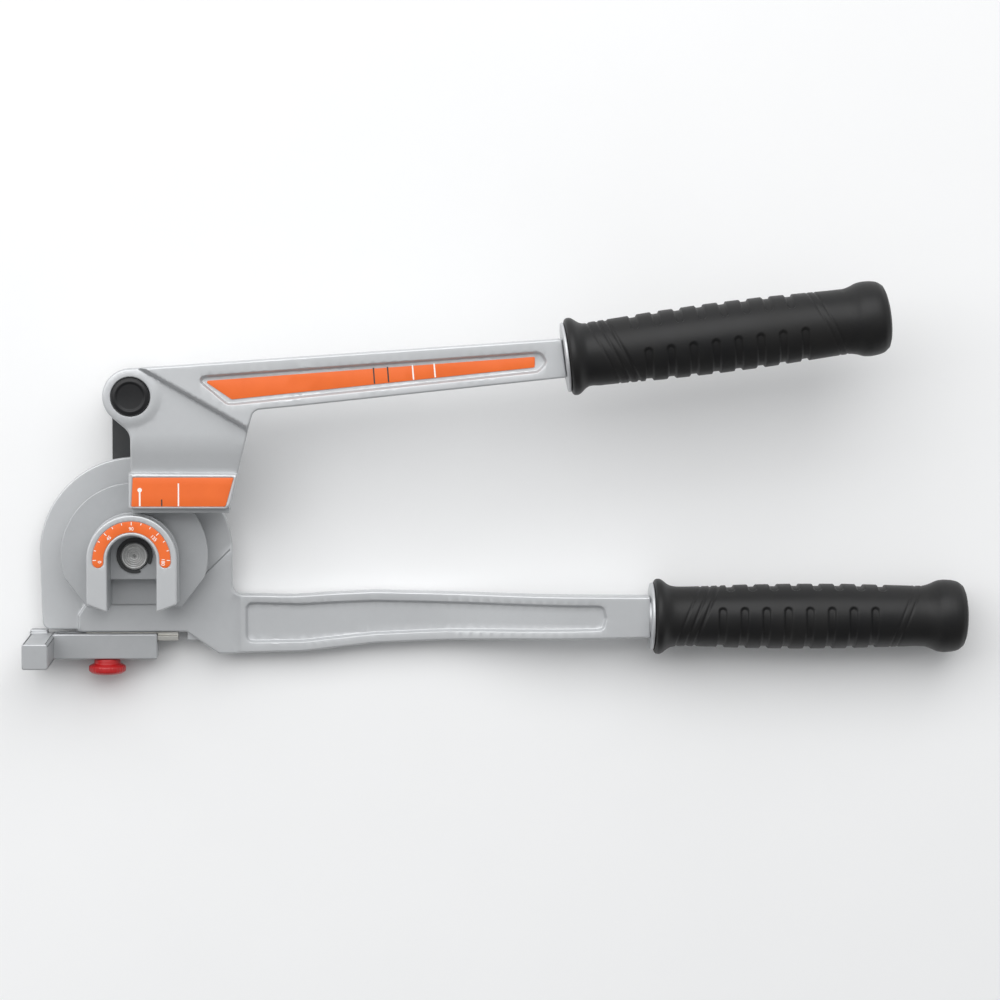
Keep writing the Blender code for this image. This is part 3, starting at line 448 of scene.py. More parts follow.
RIM_STEPS = [CAST_RADIUS * s for s in (0.08, 0.3, 0.62, 1.0)]
DRAFT_STEPS = [RECESS_DRAFT * s for s in (-0.5, -0.25, 0.0, 0.25, 0.5)]
pin_bore = rounded(arc_corners(0, 0, 8.2, 0, 354, 59))
block_edge = rounded([(-32.6, -17.0, 0), (-32.6, -80.0, 0), (80.0, -80.0, 0), (80.0, -17.0, 0)])
lower_lines = [
    (lower_outline, RIM_STEPS),
    (web_outline, [-0.6, -0.2, 0.2, 0.6]),
    (lower_recess, DRAFT_STEPS),
    (block_edge, [-1.0, 0.0, 1.0]),
    (pin_bore, [0.0]),
]
lower_shell = relief(lower_outline, lower_lines, lower_front, lower_back, [pin_bore])
grip_axis = Vector(((casting_high.x + BEAM_END) / 2, -36.15, tang_middle))
tang = placed(
    turned([(0, BEAM_END - 0.5), (10.6, BEAM_END - 0.5), (10.6, BEAM_END + 12), (0, BEAM_END + 12)]),
    Matrix.Translation((0, grip_axis.y, grip_axis.z)) @ AXIS_X,
)
lug_outline = rounded([(28.8, -44.0, 0.5), (28.8, -50.6, 0.8), (37.0, -50.6, 0.8), (40.0, -44.0, 0.5)], 1.0)
lug_rim = [0.1, 0.35, 0.7]
lug = relief(
    lug_outline,
    [(lug_outline, lug_rim)],
    lambda x, y: 13.3 - edge_drop(depth_inside(x, y, lug_outline), 0.7),
    lambda x, y: 4.5 + edge_drop(depth_inside(x, y, lug_outline), 0.7),
)
piece(
    "fixed_handle",
    absorb(lower_shell, tang, lug),
    silver_paint,
    "base",
    ["lower_handle_casting"],
)


# ---- Rear die, front die and hook slide ----
# Castings with machined grooves, in the handles' silver paint made darker: the darker colour is painted
# shade.
# The grooves keep crisp lips, and the other edges are broken by hand. Each die is screwed on from behind, and
# the slide runs on the rail below them.


def softened(node, width, angle=28, segments=3):
    """The CAD node's own shape in millimetres, merged into whole faces, with its sharp edges broken."""
    bm = bmesh.new()
    bm.from_mesh(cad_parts[node].data)
    bmesh.ops.scale(bm, vec=(1 / MM, 1 / MM, 1 / MM), verts=bm.verts)
    bmesh.ops.remove_doubles(bm, verts=bm.verts, dist=0.02)
    bmesh.ops.dissolve_limit(bm, angle_limit=radians(1.0), verts=bm.verts, edges=bm.edges)
    sharp = [e for e in bm.edges if len(e.link_faces) == 2 and e.calc_face_angle() > radians(angle)]
    bmesh.ops.bevel(
        bm,
        geom=sharp,
        offset=width,
        offset_type="OFFSET",
        segments=segments,
        profile=0.5,
        affect="EDGES",
        clamp_overlap=False,
        miter_outer="SHARP",
        miter_inner="SHARP",
    )
    low, high = span(node)
    for vert in bm.verts:
        vert.co = [min(max(c, a), b) for c, a, b in zip(vert.co, low, high)]
    return bm


# The silver-grey casting paint, darkened as painted shade for the dies, the hook slide and the forming shoe.
silver_with_painted_shade = finish(
    "silver_with_painted_shade", (0.48, 0.49, 0.50), (0.43, 0.44, 0.45), 0.39, 0.10, 1500, 0.000015, 40, metallic=0.45
)
CASTINGS = (("rear_die", 0.5, "base"), ("front_die", 0.35, "base"), ("hook_slide", 0.9, "hook"))
for node, width, body in CASTINGS:
    piece(node + "_casting", softened(node, width), silver_with_painted_shade, body, [node])


# ---- Dial plate and its label ----
# A U-shaped plate, painted like the castings, with a shallow recess for the printed foil of the angle scale.
# The foil is orange with a mark every 15 degrees and a number every 45.

dial_low, dial_high = span("dial_plate")
label_low, label_high = span("dial_label")
pocket_radius = span("front_die")[1].x - 12.1
leg_drop = 4.4
dial_outline = rounded(
    arc_corners(0, 0, dial_high.x, 0, 180, 48)
    + [(-dial_high.x, dial_low.y + leg_drop, 1.5), (-pocket_radius, dial_low.y, 0.8)]
    + arc_corners(0, 0, pocket_radius, 180, 0, 40)
    + [(pocket_radius, dial_low.y, 0.8), (dial_high.x, dial_low.y + leg_drop, 1.5)],
    1.6,
)


def band_loop(inner, outer, end_y):
    """An arch-shaped band with rounded ends at the height end_y."""
    middle, half = (inner + outer) / 2, (outer - inner) / 2
    return rounded(
        arc_corners(0, 0, outer, 0, 180, 48)
        + arc_corners(-middle, end_y, half, 180, 360, 10)
        + arc_corners(0, 0, inner, 180, 0, 40)
        + arc_corners(middle, end_y, half, 180, 360, 10),
        1.6,
    )


band_outer = label_high.x
band_inner = band_outer - 6.1
band_end = label_low.y + 3.05
band_seat = band_loop(band_inner - 0.3, band_outer + 0.3, band_end)
DIAL_EDGE, SEAT_DEPTH, SEAT_DRAFT = 0.9, 0.5, 0.4


def dial_front(x, y):
    seat = SEAT_DEPTH * smooth(depth_inside(x, y, band_seat) / SEAT_DRAFT + 0.5)
    return dial_high.z - seat - edge_drop(depth_inside(x, y, dial_outline), DIAL_EDGE)


def dial_back(x, y):
    return dial_low.z + edge_drop(depth_inside(x, y, dial_outline), 0.4)


dial_lines = [
    (dial_outline, [DIAL_EDGE * s for s in (0.08, 0.3, 0.62, 1.0)]),
    (band_seat, [-0.2, 0.0, 0.2]),
]
dial_shell = relief(dial_outline, dial_lines, dial_front, dial_back)
piece("dial_plate_casting", dial_shell, silver_paint, "base", ["dial_plate"])

orange_foil = finish(
    "orange_foil", (0.83, 0.158, 0.030), (0.79, 0.145, 0.027), 0.42, 0.08, 2500, 0.000004, 60, shine=0.35
)
white_ink = finish("white_ink", (0.93, 0.92, 0.89), (0.86, 0.84, 0.80), 0.5, 0.1, 3000, 0.000004, 200)
black_ink = finish("black_ink", (0.03, 0.028, 0.027), (0.06, 0.05, 0.045), 0.5, 0.1, 3000, 0.000004, 200)


def foil(outline, back, front, edge=0.12):
    """A thin printed plate with a soft edge, between two height functions."""
    return relief(
        outline,
        [(outline, [edge * 0.4, edge])],
        lambda x, y: front(x, y) - edge_drop(depth_inside(x, y, outline), edge),
        back,
    )


def level(z):
    return lambda x, y: np.full(len(x), z)


band = band_loop(band_inner, band_outer, band_end)
dial_foil = foil(band, level(label_low.z), level(label_high.z - 0.04))
piece("dial_foil", dial_foil, orange_foil, "base", ["dial_label"], 40)


def node_tree_modifier(obj, tree, values):
    """Puts a Geometry Nodes tree on an object and sets its named inputs."""
    modifier = obj.modifiers.new(tree.name, "NODES")
    modifier.node_group = tree
    for item in tree.interface.items_tree:
        if item.item_type == "SOCKET" and item.in_out == "INPUT" and item.name in values:
            modifier[item.identifier] = values[item.name]
    return modifier


def realised(name, tree, values):
    """The plain mesh, in metres, that a Geometry Nodes tree makes from its values."""
    carrier = bpy.data.objects.new(name + "_carrier", bpy.data.meshes.new(name + "_carrier"))
    bpy.context.scene.collection.objects.link(carrier)
    node_tree_modifier(carrier, tree, values)
    graph = bpy.context.evaluated_depsgraph_get()
    mesh = bpy.data.meshes.new_from_object(carrier.evaluated_get(graph))
    bpy.data.objects.remove(carrier)
    return mesh


def tick_tree(ink):
    """Marks set out round an arc about z: each one is a thin bar that points at the centre."""
    tree = bpy.data.node_groups.new("Scale Marks", "GeometryNodeTree")
    tree.is_modifier = True
    for name, kind in (
        ("Marks", "NodeSocketInt"),
        ("Radius", "NodeSocketFloat"),
        ("Start Angle", "NodeSocketFloat"),
        ("Step Angle", "NodeSocketFloat"),
        ("Length", "NodeSocketFloat"),
        ("Width", "NodeSocketFloat"),
        ("Thickness", "NodeSocketFloat"),
        ("Height", "NodeSocketFloat"),
    ):
        tree.interface.new_socket(name, in_out="INPUT", socket_type=kind)
    tree.interface.new_socket("Geometry", in_out="OUTPUT", socket_type="NodeSocketGeometry")
    given, result = tree.nodes.new("NodeGroupInput"), tree.nodes.new("NodeGroupOutput")
    link = tree.links.new

    def maths(operation, a, b):
        node = tree.nodes.new("ShaderNodeMath")
        node.operation = operation
        for socket, value in zip(node.inputs, (a, b)):
            if isinstance(value, bpy.types.NodeSocket):
                link(value, socket)
            elif value is not None:
                socket.default_value = value
        return node.outputs["Value"]

    points = tree.nodes.new("GeometryNodePoints")
    index = tree.nodes.new("GeometryNodeInputIndex")
    turn = maths("MULTIPLY", index.outputs["Index"], given.outputs["Step Angle"])
    angle = maths("ADD", turn, given.outputs["Start Angle"])
    place = tree.nodes.new("ShaderNodeCombineXYZ")
    link(maths("MULTIPLY", maths("COSINE", angle, None), given.outputs["Radius"]), place.inputs["X"])
    link(maths("MULTIPLY", maths("SINE", angle, None), given.outputs["Radius"]), place.inputs["Y"])
    link(given.outputs["Height"], place.inputs["Z"])
    facing = tree.nodes.new("ShaderNodeCombineXYZ")
    link(angle, facing.inputs["Z"])
    size = tree.nodes.new("ShaderNodeCombineXYZ")
    for axis, name in (("X", "Length"), ("Y", "Width"), ("Z", "Thickness")):
        link(given.outputs[name], size.inputs[axis])
    mark = tree.nodes.new("GeometryNodeMeshCube")
    spread = tree.nodes.new("GeometryNodeInstanceOnPoints")
    whole = tree.nodes.new("GeometryNodeRealizeInstances")
    painted = tree.nodes.new("GeometryNodeSetMaterial")
    painted.inputs["Material"].default_value = ink
    link(given.outputs["Marks"], points.inputs["Count"])
    link(place.outputs["Vector"], points.inputs["Position"])
    link(size.outputs["Vector"], mark.inputs["Size"])
    link(points.outputs["Points"], spread.inputs["Points"])
    link(mark.outputs["Mesh"], spread.inputs["Instance"])
    link(facing.outputs["Vector"], spread.inputs["Rotation"])
    link(spread.outputs["Instances"], whole.inputs["Geometry"])
    link(whole.outputs["Geometry"], painted.inputs["Geometry"])
    link(painted.outputs["Geometry"], result.inputs["Geometry"])
    return tree


def kept(name, mesh, material, body, slot):
    """A finished piece from a mesh that is already in metres and in place. It stands for no CAD node."""
    mesh.materials.clear()
    mesh.materials.append(material)
    obj = bpy.data.objects.new(name, mesh)
    bpy.context.scene.collection.objects.link(obj)
    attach(obj, body)
    return obj


mark_tree = tick_tree(white_ink)
INK_TOP = label_high.z
for name, marks, step, length in (("dial_short_marks", 13, 15, 1.2), ("dial_long_marks", 5, 45, 1.9)):
    values = {
        "Marks": marks,
        "Radius": (band_outer - 0.25 - length / 2) * MM,
        "Start Angle": 0.0,
        "Step Angle": radians(step),
        "Length": length * MM,
        "Width": 0.42 * MM,
        "Thickness": 0.05 * MM,
        "Height": (INK_TOP - 0.025 + (0.002 if step == 45 else 0)) * MM,
    }
    kept(name, realised(name, mark_tree, values), white_ink, "base", "dial_label")


def lettering(text, size, matrix):
    """Printed figures as a thin solid in millimetres, centred on the matrix's origin."""
    curve = bpy.data.curves.new("figures", "FONT")
    curve.body = text
    curve.size = size
    curve.align_x, curve.align_y = "CENTER", "CENTER"
    curve.extrude = 0.02
    curve.offset = 0.03
    obj = bpy.data.objects.new("figures", curve)
    bpy.context.scene.collection.objects.link(obj)
    mesh = bpy.data.meshes.new_from_object(obj.evaluated_get(bpy.context.evaluated_depsgraph_get()))
    bpy.data.objects.remove(obj)
    bm = bmesh.new()
    bm.from_mesh(mesh)
    return placed(bm, matrix)


def figure_place(angle, radius, z):
    """Where a figure of the scale stands, with its top towards the rim."""
    a = radians(angle)
    return Matrix.Translation((radius * cos(a), radius * sin(a), z)) @ Matrix.Rotation(a - pi / 2, 4, "Z")


FIGURE_RADIUS, FIGURE_SIZE = band_inner + 1.9, 2.7
figures = bmesh.new()
for count, text in enumerate(("180", "135", "90", "45", "0")):
    turn = 45 * count + (-3 if count == 0 else 3 if count == 4 else 0)
    absorb(figures, lettering(text, FIGURE_SIZE, figure_place(turn, FIGURE_RADIUS, INK_TOP - 0.022)))
piece("dial_figures", figures, white_ink, "base", [], 40)


# ---- Main pin and its ring ----
# A turned steel pin, seen end on in the dies' pocket. Its face keeps the rings that the lathe left and the
# small dimple of the centre. A spring steel ring holds it.

pin_high = span("main_pin")[1]
clip_low, clip_high = span("main_pin_clip")
PIN_RADIUS, RING_PITCH, RING_DEPTH = 7.8, 1.15, 0.12
pin_face = []
for k in range(61):
    r = 7.1 * k / 60
    ripple = RING_DEPTH * (0.5 - 0.5 * cos(2 * pi * r / RING_PITCH)) + 0.03 * sin(9.7 * r)
    dimple = 0.7 * max(0.0, 1 - r / 0.8)
    pin_face.append((r, pin_high.z - 0.05 - ripple - dimple))
pin_shank = soft_corners(
    [
        (7.1, pin_high.z),
        (PIN_RADIUS, pin_high.z - 0.6),
        (PIN_RADIUS, clip_high.z + 0.2),
        (7.2, clip_high.z + 0.2),
        (7.2, clip_low.z - 0.2),
        (PIN_RADIUS, clip_low.z - 0.2),
        (PIN_RADIUS, 3.0),
        (pin_high.x, 3.0),
        (pin_high.x, 0.8),
        (10.2, 0.0),
        (0.0, 0.0),
    ],
    0.2,
)
turned_steel = finish(
    "turned_steel", (0.58, 0.58, 0.57), (0.42, 0.42, 0.41), 0.38, 0.2, 900, 0.00003, 220, metallic=0.85
)
main_pin = turned(pin_face + pin_shank, 128)
piece("main_pin_turned", main_pin, turned_steel, "base", ["main_pin"], 30)

dark_steel = finish(
    "dark_steel", (0.055, 0.057, 0.06), (0.085, 0.085, 0.083), 0.42, 0.15, 1200, 0.00003, 60, metallic=0.6
)
zinc = finish(
    "zinc_plate", (0.60, 0.59, 0.56), (0.50, 0.49, 0.45), 0.32, 0.15, 1400, 0.00002, 120, metallic=0.9
)
bronze = finish(
    "bronze", (0.46, 0.28, 0.11), (0.33, 0.19, 0.075), 0.36, 0.15, 900, 0.00003, 150, metallic=0.9
)
for node, body, metal, width in (
    ("main_pin_clip", "base", dark_steel, 0.15),
    ("link_pin_clip", "link", dark_steel, 0.15),
    ("hook_rail", "base", zinc, 0.3),
    ("link_bar", "link", dark_steel, 0.6),
    ("link_bush", "link", bronze, 0.2),
    ("link_washer", "link", zinc, 0.15),
    ("handle_washer", "link", zinc, 0.15),
    ("handle_bush", "upper_handle", bronze, 0.3),
    # The forming shoe takes the silver paint darkened as painted shade.
    ("forming_shoe", "upper_handle", silver_with_painted_shade, 0.35),
    ("plunger_guide", "hook", bronze, 0.15),
):
    piece(node + "_finished", softened(node, width), metal, body, [node])


# ---- Moving handle ----
# One casting again: a boss round the link pin, a cheek that reaches down over the dies, a flat plate above
# the shoe, and a beam set further forward, with a step between them. The beam rises towards its grip.

shoe_label_low, shoe_label_high = span("shoe_label")
cap_low, cap_high = span("pivot_cap")
pivot_y = (cap_low.y + cap_high.y) / 2
cap_radius = (cap_high.x - cap_low.x) / 2
BOSS_RADIUS, CHEEK_FRONT, CHEEK_BACK, BOSS_FRONT = 15.6, 57.6, 52.0, 58.6
shoe_plate_front = shoe_label_high.z
BEAM_RISE, BEAM_ORIGIN, BEAM_LEVEL, BEAM_HALF = 0.0515, 10.0, 55.3, 7.0
CHEEK_FALL, CHEEK_BEND = 3.2, 66.0
STEP_TOP, STEP_END, STEP_WIDTH = Vector((10.0, 105.3)), Vector((65.3, 74.0)), 2.6
upper_outline = rounded(
    arc_corners(0, pivot_y, BOSS_RADIUS, 96, 228, 36)
    + [(-0.2, 71.4, 9.0), (-0.2, 49.6, 0.8), (-1.4, 48.6, 0.8), (-1.4, 28.9, 1.4), (53.0, 28.9, 2.5)]
    + [(55.4, 31.2, 2.0), (59.3, 48.0, 3.0), (62.2, 60.0, 12.0), (65.6, 74.6, 3.0), (68.4, 84.6, 5.5)]
    + [(92.0, 86.9, 20.0), (241.9, 103.5, 0.8), (239.1, 124.8, 0.8), (27.6, 109.2, 30.0)]
)
plate_outline = rounded(
    [(-1.4, 48.9, 1.2), (-1.4, 28.9, 1.4), (53.0, 28.9, 2.5), (55.4, 31.2, 2.0), (59.4, 48.4, 1.2)], 1.5
)
shoe_seat = rounded(
    [(0.9, 46.9, 0.9), (0.0, 30.1, 0.9), (52.9, 30.1, 1.8), (57.6, 46.9, 0.9)], 1.5
)
beam_recess = rounded(
    [(36.0, 102.8, 2.2), (54.4, 87.6, 5.0), (226.0, 106.6, 4.0), (231.0, 112.0, 3.0), (227.3, 117.4, 4.0)]
)
cap_hole = rounded(arc_corners(0, pivot_y, cap_radius + 0.3, 0, 354, 59), 1.2)
step_line = rounded(
    [(STEP_TOP.x - 30, STEP_TOP.y + 17, 0), (STEP_END.x + 20, STEP_END.y - 11.3, 0), (120.0, 200.0, 0)], 1.5
)


def beyond_step(x, y):
    """Signed distance past the step, towards the beam."""
    run = (STEP_END - STEP_TOP).normalized()
    return (x - STEP_TOP.x) * -run.y + (y - STEP_TOP.y) * run.x


def head_level(x, y):
    """Front of the head: it is flat by the boss and falls away towards the shoe plate."""
    fall = CHEEK_FALL * np.clip((CHEEK_BEND - y) / 17.0, 0.0, 1.0) ** 1.25
    boss = np.hypot(x, y - pivot_y)
    raised = (BOSS_FRONT - CHEEK_FRONT) * smooth((BOSS_RADIUS + 2.5 - boss) / 5.0)
    cheek = CHEEK_FRONT - fall + raised
    on_plate = smooth(depth_inside(x, y, plate_outline) / 0.9 + 0.5)
    return cheek * (1 - on_plate) + shoe_plate_front * on_plate


def upper_front(x, y):
    beam = BEAM_LEVEL + BEAM_RISE * (x - BEAM_ORIGIN) + BEAM_HALF
    beam -= RECESS_DEPTH * smooth(depth_inside(x, y, beam_recess) / RECESS_DRAFT + 0.5)
    on_beam = smooth(beyond_step(x, y) / STEP_WIDTH + 0.5)
    seat = SEAT_DEPTH * smooth(depth_inside(x, y, shoe_seat) / SEAT_DRAFT + 0.5)
    lip = edge_drop(np.maximum(np.hypot(x, y - pivot_y) - cap_radius - 0.3, 0.0), 0.7)
    edge = edge_drop(depth_inside(x, y, upper_outline), CAST_RADIUS)
    return head_level(x, y) * (1 - on_beam) + beam * on_beam - seat - lip - edge


def upper_back(x, y):
    beam = BEAM_LEVEL + BEAM_RISE * (x - BEAM_ORIGIN) - BEAM_HALF
    beam += RECESS_DEPTH * smooth(depth_inside(x, y, beam_recess) / RECESS_DRAFT + 0.5)
    on_beam = smooth(beyond_step(x, y) / STEP_WIDTH + 0.5)
    edge = edge_drop(depth_inside(x, y, upper_outline), CAST_RADIUS)
    return CHEEK_BACK * (1 - on_beam) + beam * on_beam + edge


boss_edge = rounded(arc_corners(0, pivot_y, BOSS_RADIUS, 0, 354, 59), 1.6)
upper_lines = [
    (upper_outline, RIM_STEPS),
    (plate_outline, [-1.3, -0.7, -0.45, -0.15, 0.15, 0.45]),
    (shoe_seat, [-0.2, 0.0, 0.2]),
    (beam_recess, DRAFT_STEPS),
    (cap_hole, [-0.7, -0.45, -0.2, -0.05, 0.0]),
    (boss_edge, [-2.5, -1.0, 0.5, 2.5]),
    (step_line, [STEP_WIDTH * s for s in (-0.9, -0.5, -0.3, -0.1, 0.1, 0.3, 0.5, 0.9)]),
]
upper_shell = relief(upper_outline, upper_lines, upper_front, upper_back, [cap_hole])


def block(corners, back, front, edge=1.2):
    """A plain cast block with rounded edges, from an outline and two levels."""
    outline = rounded(corners)
    return relief(
        outline,
        [(outline, [edge * s for s in (0.1, 0.35, 0.7, 1.0)])],
        lambda x, y: front - edge_drop(depth_inside(x, y, outline), edge),
        lambda x, y: back + edge_drop(depth_inside(x, y, outline), edge),
    )


pivot_place = Matrix.Translation((0, pivot_y, 0))
barrel_radius, barrel_back, barrel_front = BOSS_RADIUS - 0.1, 10.7, 52.3
barrel_profile = [(0, barrel_back), (13.4, barrel_back), (13.4, 44.0), (barrel_radius, 46.5)]
barrel_profile += [(barrel_radius, barrel_front), (0, barrel_front)]
barrel = placed(turned(soft_corners(barrel_profile, 0.8)), pivot_place)
ring_inner, ring_outer, ring_back, ring_front = cap_radius + 0.3, BOSS_RADIUS - 0.4, 52.0, 56.0
ring_profile = [(ring_inner, ring_back), (ring_outer, ring_back)]
ring_profile += [(ring_outer, ring_front), (ring_inner, ring_front)]
cap_ring = placed(turned(ring_profile), pivot_place)
CORE_BACK, CORE_FRONT, RIB_BACK, RIB_FRONT = 32.2, 54.0, 16.8, 34.5
core_corners = [(1.4, 60.4, 1.5), (57.8, 60.4, 2), (62.6, 71.0, 3), (65.5, 80.5, 2)]
core_corners += [(24.0, 100.6, 5), (0.6, 99.0, 2)]
core = block(core_corners, CORE_BACK, CORE_FRONT)
rib_corners = [(1.6, 60.4, 1), (24.0, 60.4, 1.5), (12.0, 90.0, 2), (-6.0, 90.0, 2)]
rib_corners += [(-6.0, 84.0, 2), (1.6, 73.0, 3)]
rib = block(rib_corners, RIB_BACK, RIB_FRONT)
piece(
    "moving_handle",
    absorb(upper_shell, barrel, cap_ring, core, rib),
    silver_paint,
    "upper_handle",
    ["upper_handle_casting"],
)

shoe_foil_outline = rounded(
    [(1.2, 46.6, 0.6), (0.3, 30.4, 0.6), (52.6, 30.4, 1.5), (57.2, 46.6, 0.6)], 1.5
)
shoe_foil = foil(shoe_foil_outline, level(shoe_label_low.z), level(shoe_label_high.z - 0.04))
piece("shoe_foil", shoe_foil, orange_foil, "upper_handle", ["shoe_label"], 40)


def bar_outline(x, y0, y1, width):
    """The outline of an upright mark that stands about x."""
    left, right = x - width / 2, x + width / 2
    return rounded([(left, y0, 0), (right, y0, 0), (right, y1, 0), (left, y1, 0)])


def printed(outline, top):
    """A printed mark: a hair of ink that stands on the foil."""
    return foil(outline, lambda x, y: top(x, y) - 0.045, top, 0.02)


shoe_top = level(shoe_label_high.z)
pointer_bead = rounded(arc_corners(5.0, 39.6, 1.25, 0, 340, 17), 0.8)
shoe_marks = absorb(
    printed(bar_outline(5.0, 30.6, 38.4, 0.9), shoe_top),
    printed(pointer_bead, shoe_top),
    printed(bar_outline(26.5, 30.6, 43.4, 0.75), shoe_top),
)
piece("shoe_white_marks", shoe_marks, white_ink, "upper_handle", [], 40)
piece(
    "shoe_black_mark",
    printed(bar_outline(17.2, 30.6, 34.4, 0.75), shoe_top),
    black_ink,
    "upper_handle",
    [],
    40,
)

foil_rise = BEAM_LEVEL + BEAM_HALF - RECESS_DEPTH + 0.3


def foil_level(extra):
    return lambda x, y: foil_rise + extra + BEAM_RISE * (x - BEAM_ORIGIN)


handle_foil_outline = rounded(
    [(41.2, 100.7, 0.8), (56.4, 90.5, 1.2), (224.3, 109.0, 0.8), (224.4, 114.9, 0.8)], 2.0
)
handle_foil = foil(handle_foil_outline, foil_level(0.0), foil_level(0.26))
piece("handle_foil", handle_foil, orange_foil, "upper_handle", ["handle_label"], 40)


def across_foil(x, width):
    """A mark across the handle's foil, from its lower edge to its upper one."""
    low, high = 90.9 + (x - 56.4) * 0.1102, 101.1 + (x - 41.2) * 0.0775
    return rounded(
        [
            (x + 0.35 - width / 2, low, 0),
            (x + 0.35 + width / 2, low, 0),
            (x - 0.35 + width / 2, high, 0),
            (x - 0.35 - width / 2, high, 0),
        ]
    )


handle_white = absorb(*[printed(across_foil(x, 0.8), foil_level(0.3)) for x in (156.9, 168.9)])
handle_black = absorb(*[printed(across_foil(x, 0.8), foil_level(0.3)) for x in (135.3, 143.1)])
piece("handle_white_marks", handle_white, white_ink, "upper_handle", [], 40)
piece("handle_black_marks", handle_black, black_ink, "upper_handle", [], 40)


# ---- Pivot cap and link pin ----
# The cap is a pressed-in disc of black plastic with a shallow dished middle. Under it the steel link pin runs
# through the handle to a flat head at the back.

black_plastic = finish(
    "black_plastic", (0.008, 0.008, 0.009), (0.014, 0.014, 0.015), 0.36, 0.12, 1800, 0.00002, 60, shine=0.35
)
cap_profile = soft_corners(
    [
        (0, cap_high.z - 0.9),
        (7.2, cap_high.z - 0.7),
        (7.9, cap_high.z - 0.15),
        (8.5, cap_high.z),
        (cap_radius - 0.5, cap_high.z - 0.5),
        (cap_radius, cap_high.z - 1.6),
        (cap_radius, cap_low.z),
        (0, cap_low.z),
    ],
    0.35,
)
cap = placed(turned(cap_profile, 128), pivot_place)
piece("pivot_cap_moulded", cap, black_plastic, "upper_handle", ["pivot_cap"], 60)
link_clip_low, link_clip_high = span("link_pin_clip")
link_pin_high = span("link_pin")[1]
link_pin_profile = soft_corners(
    [
        (0, link_pin_high.z),
        (7.0, link_pin_high.z),
        (7.0, link_clip_high.z + 0.2),
        (6.4, link_clip_high.z + 0.2),
        (6.4, link_clip_low.z - 0.2),
        (7.0, link_clip_low.z - 0.2),
        (7.0, 3.0),
        (link_pin_high.x, 3.0),
        (link_pin_high.x, 0.8),
        (9.2, 0.0),
        (0.0, 0.0),
    ],
    0.25,
)
link_pin = placed(turned(link_pin_profile), pivot_place)
piece("link_pin_turned", link_pin, turned_steel, "link", ["link_pin"], 30)


# ---- Grips and collars ----
# Black rubber sleeves pushed over the tangs: a flange at the mouth, two rows of finger slots with a plain
# band between them, slanting grooves at each end, and a flared butt. A painted collar closes each mouth.

GRIP_PROFILE = (
    (0.0, 19.4),
    (0.4, 20.6),
    (1.3, 21.5),
    (2.8, 21.8),
    (4.2, 21.5),
    (5.8, 20.3),
    (7.4, 18.8),
    (9.8, 17.6),
    (13.0, 17.1),
    (18.0, 17.1),
    (30.0, 17.4),
    (50.0, 18.2),
    (80.0, 18.7),
    (110.0, 18.6),
    (135.0, 17.9),
    (152.0, 17.4),
    (157.0, 17.6),
    (160.5, 18.8),
    (164.0, 20.5),
    (168.0, 21.0),
    (172.5, 20.7),
    (176.0, 19.9),
    (178.8, 17.6),
    (180.3, 14.0),
    (180.9, 8.0),
    (181.0, 3.0),
)
SLOT_PITCH, SLOT_HALF, SLOT_DEPTH, SLOTS, FIRST_SLOT = 12.5, 2.1, 1.25, 8, 38.3
ROW_STARTS, ROW_SWEEP = (38.0, 180.0 + 38.0), 142.0
GROOVES = ((20.0, 0.55, 0.45), (25.5, 0.7, 0.6), (30.5, 0.9, 0.7), (144.0, 0.5, 0.35), (148.0, 0.5, 0.4))
ROW_SHIFT, SLANT = 5.4, 0.42
RINGS, SIDES = 330, 192


def slot_depths(along, turn, radius):
    """Depth of the finger slots, from the distance along the grip and the angle round it in degrees."""
    depth = np.zeros_like(along)
    middle = ROW_SWEEP / 2
    for row, row_start in enumerate(ROW_STARTS):
        past = (turn - row_start) % 360.0
        arc_over = np.maximum(radians(1) * (np.abs(past - middle) - middle) * radius + SLOT_HALF, 0.0)
        for k in range(SLOTS):
            centre = FIRST_SLOT + SLOT_PITCH * k + ROW_SHIFT * row
            away = np.hypot(along - centre, arc_over)
            depth = np.maximum(depth, SLOT_DEPTH * smooth((SLOT_HALF - away) / 0.9 + 0.5))
    return depth


def slant_depths(along, turn, radius):
    """Depth of the slanting grooves near both ends of the grip. Each is a leaning plane's cut round it."""
    depth = np.zeros_like(along)
    lean = SLANT * radius * np.sin(np.radians(turn))
    for centre, half, deep in GROOVES:
        away = np.abs(along + lean - centre)
        depth = np.maximum(depth, deep * smooth((half - away) / 0.7 + 0.5))
    return depth


def grip_shell(matrix, roll, swell):
    """A sleeve about the matrix's z. Swell widens its waist across the handle, where the section is oval."""
    stations, radii = np.array(GRIP_PROFILE).T
    along = np.linspace(0, stations[-1], RINGS)
    radius = np.interp(along, stations, radii)
    kernel = np.hanning(9) / np.hanning(9).sum()
    inner = np.convolve(np.pad(radius, 4, mode="edge"), kernel, mode="valid")
    blend_in = smooth((along - 1.0) / 2) * smooth((stations[-1] - 2.5 - along) / 3)
    radius = radius * (1 - blend_in) + inner * blend_in
    turn = np.linspace(0, 360, SIDES, endpoint=False)
    s, t = np.meshgrid(along, turn, indexing="ij")
    r = np.repeat(radius[:, None], SIDES, axis=1)
    r = r - slot_depths(s, (t + roll) % 360, r) - slant_depths(s, (t + roll) % 360, r)
    waist = smooth((s - 9.0) / 8.0) * smooth((164.0 - s) / 12.0)
    x, y = -r * np.cos(np.radians(t)), r * np.sin(np.radians(t)) * (1 + swell * waist)
    bm = bmesh.new()
    rings = [[bm.verts.new((x[i, j], y[i, j], s[i, j])) for j in range(SIDES)] for i in range(RINGS)]
    for ring, following in zip(rings, rings[1:]):
        for j in range(SIDES):
            k = (j + 1) % SIDES
            bm.faces.new((ring[j], ring[k], following[k], following[j]))
    bm.faces.new(rings[0])
    bm.faces.new(rings[-1])
    return placed(bm, matrix)


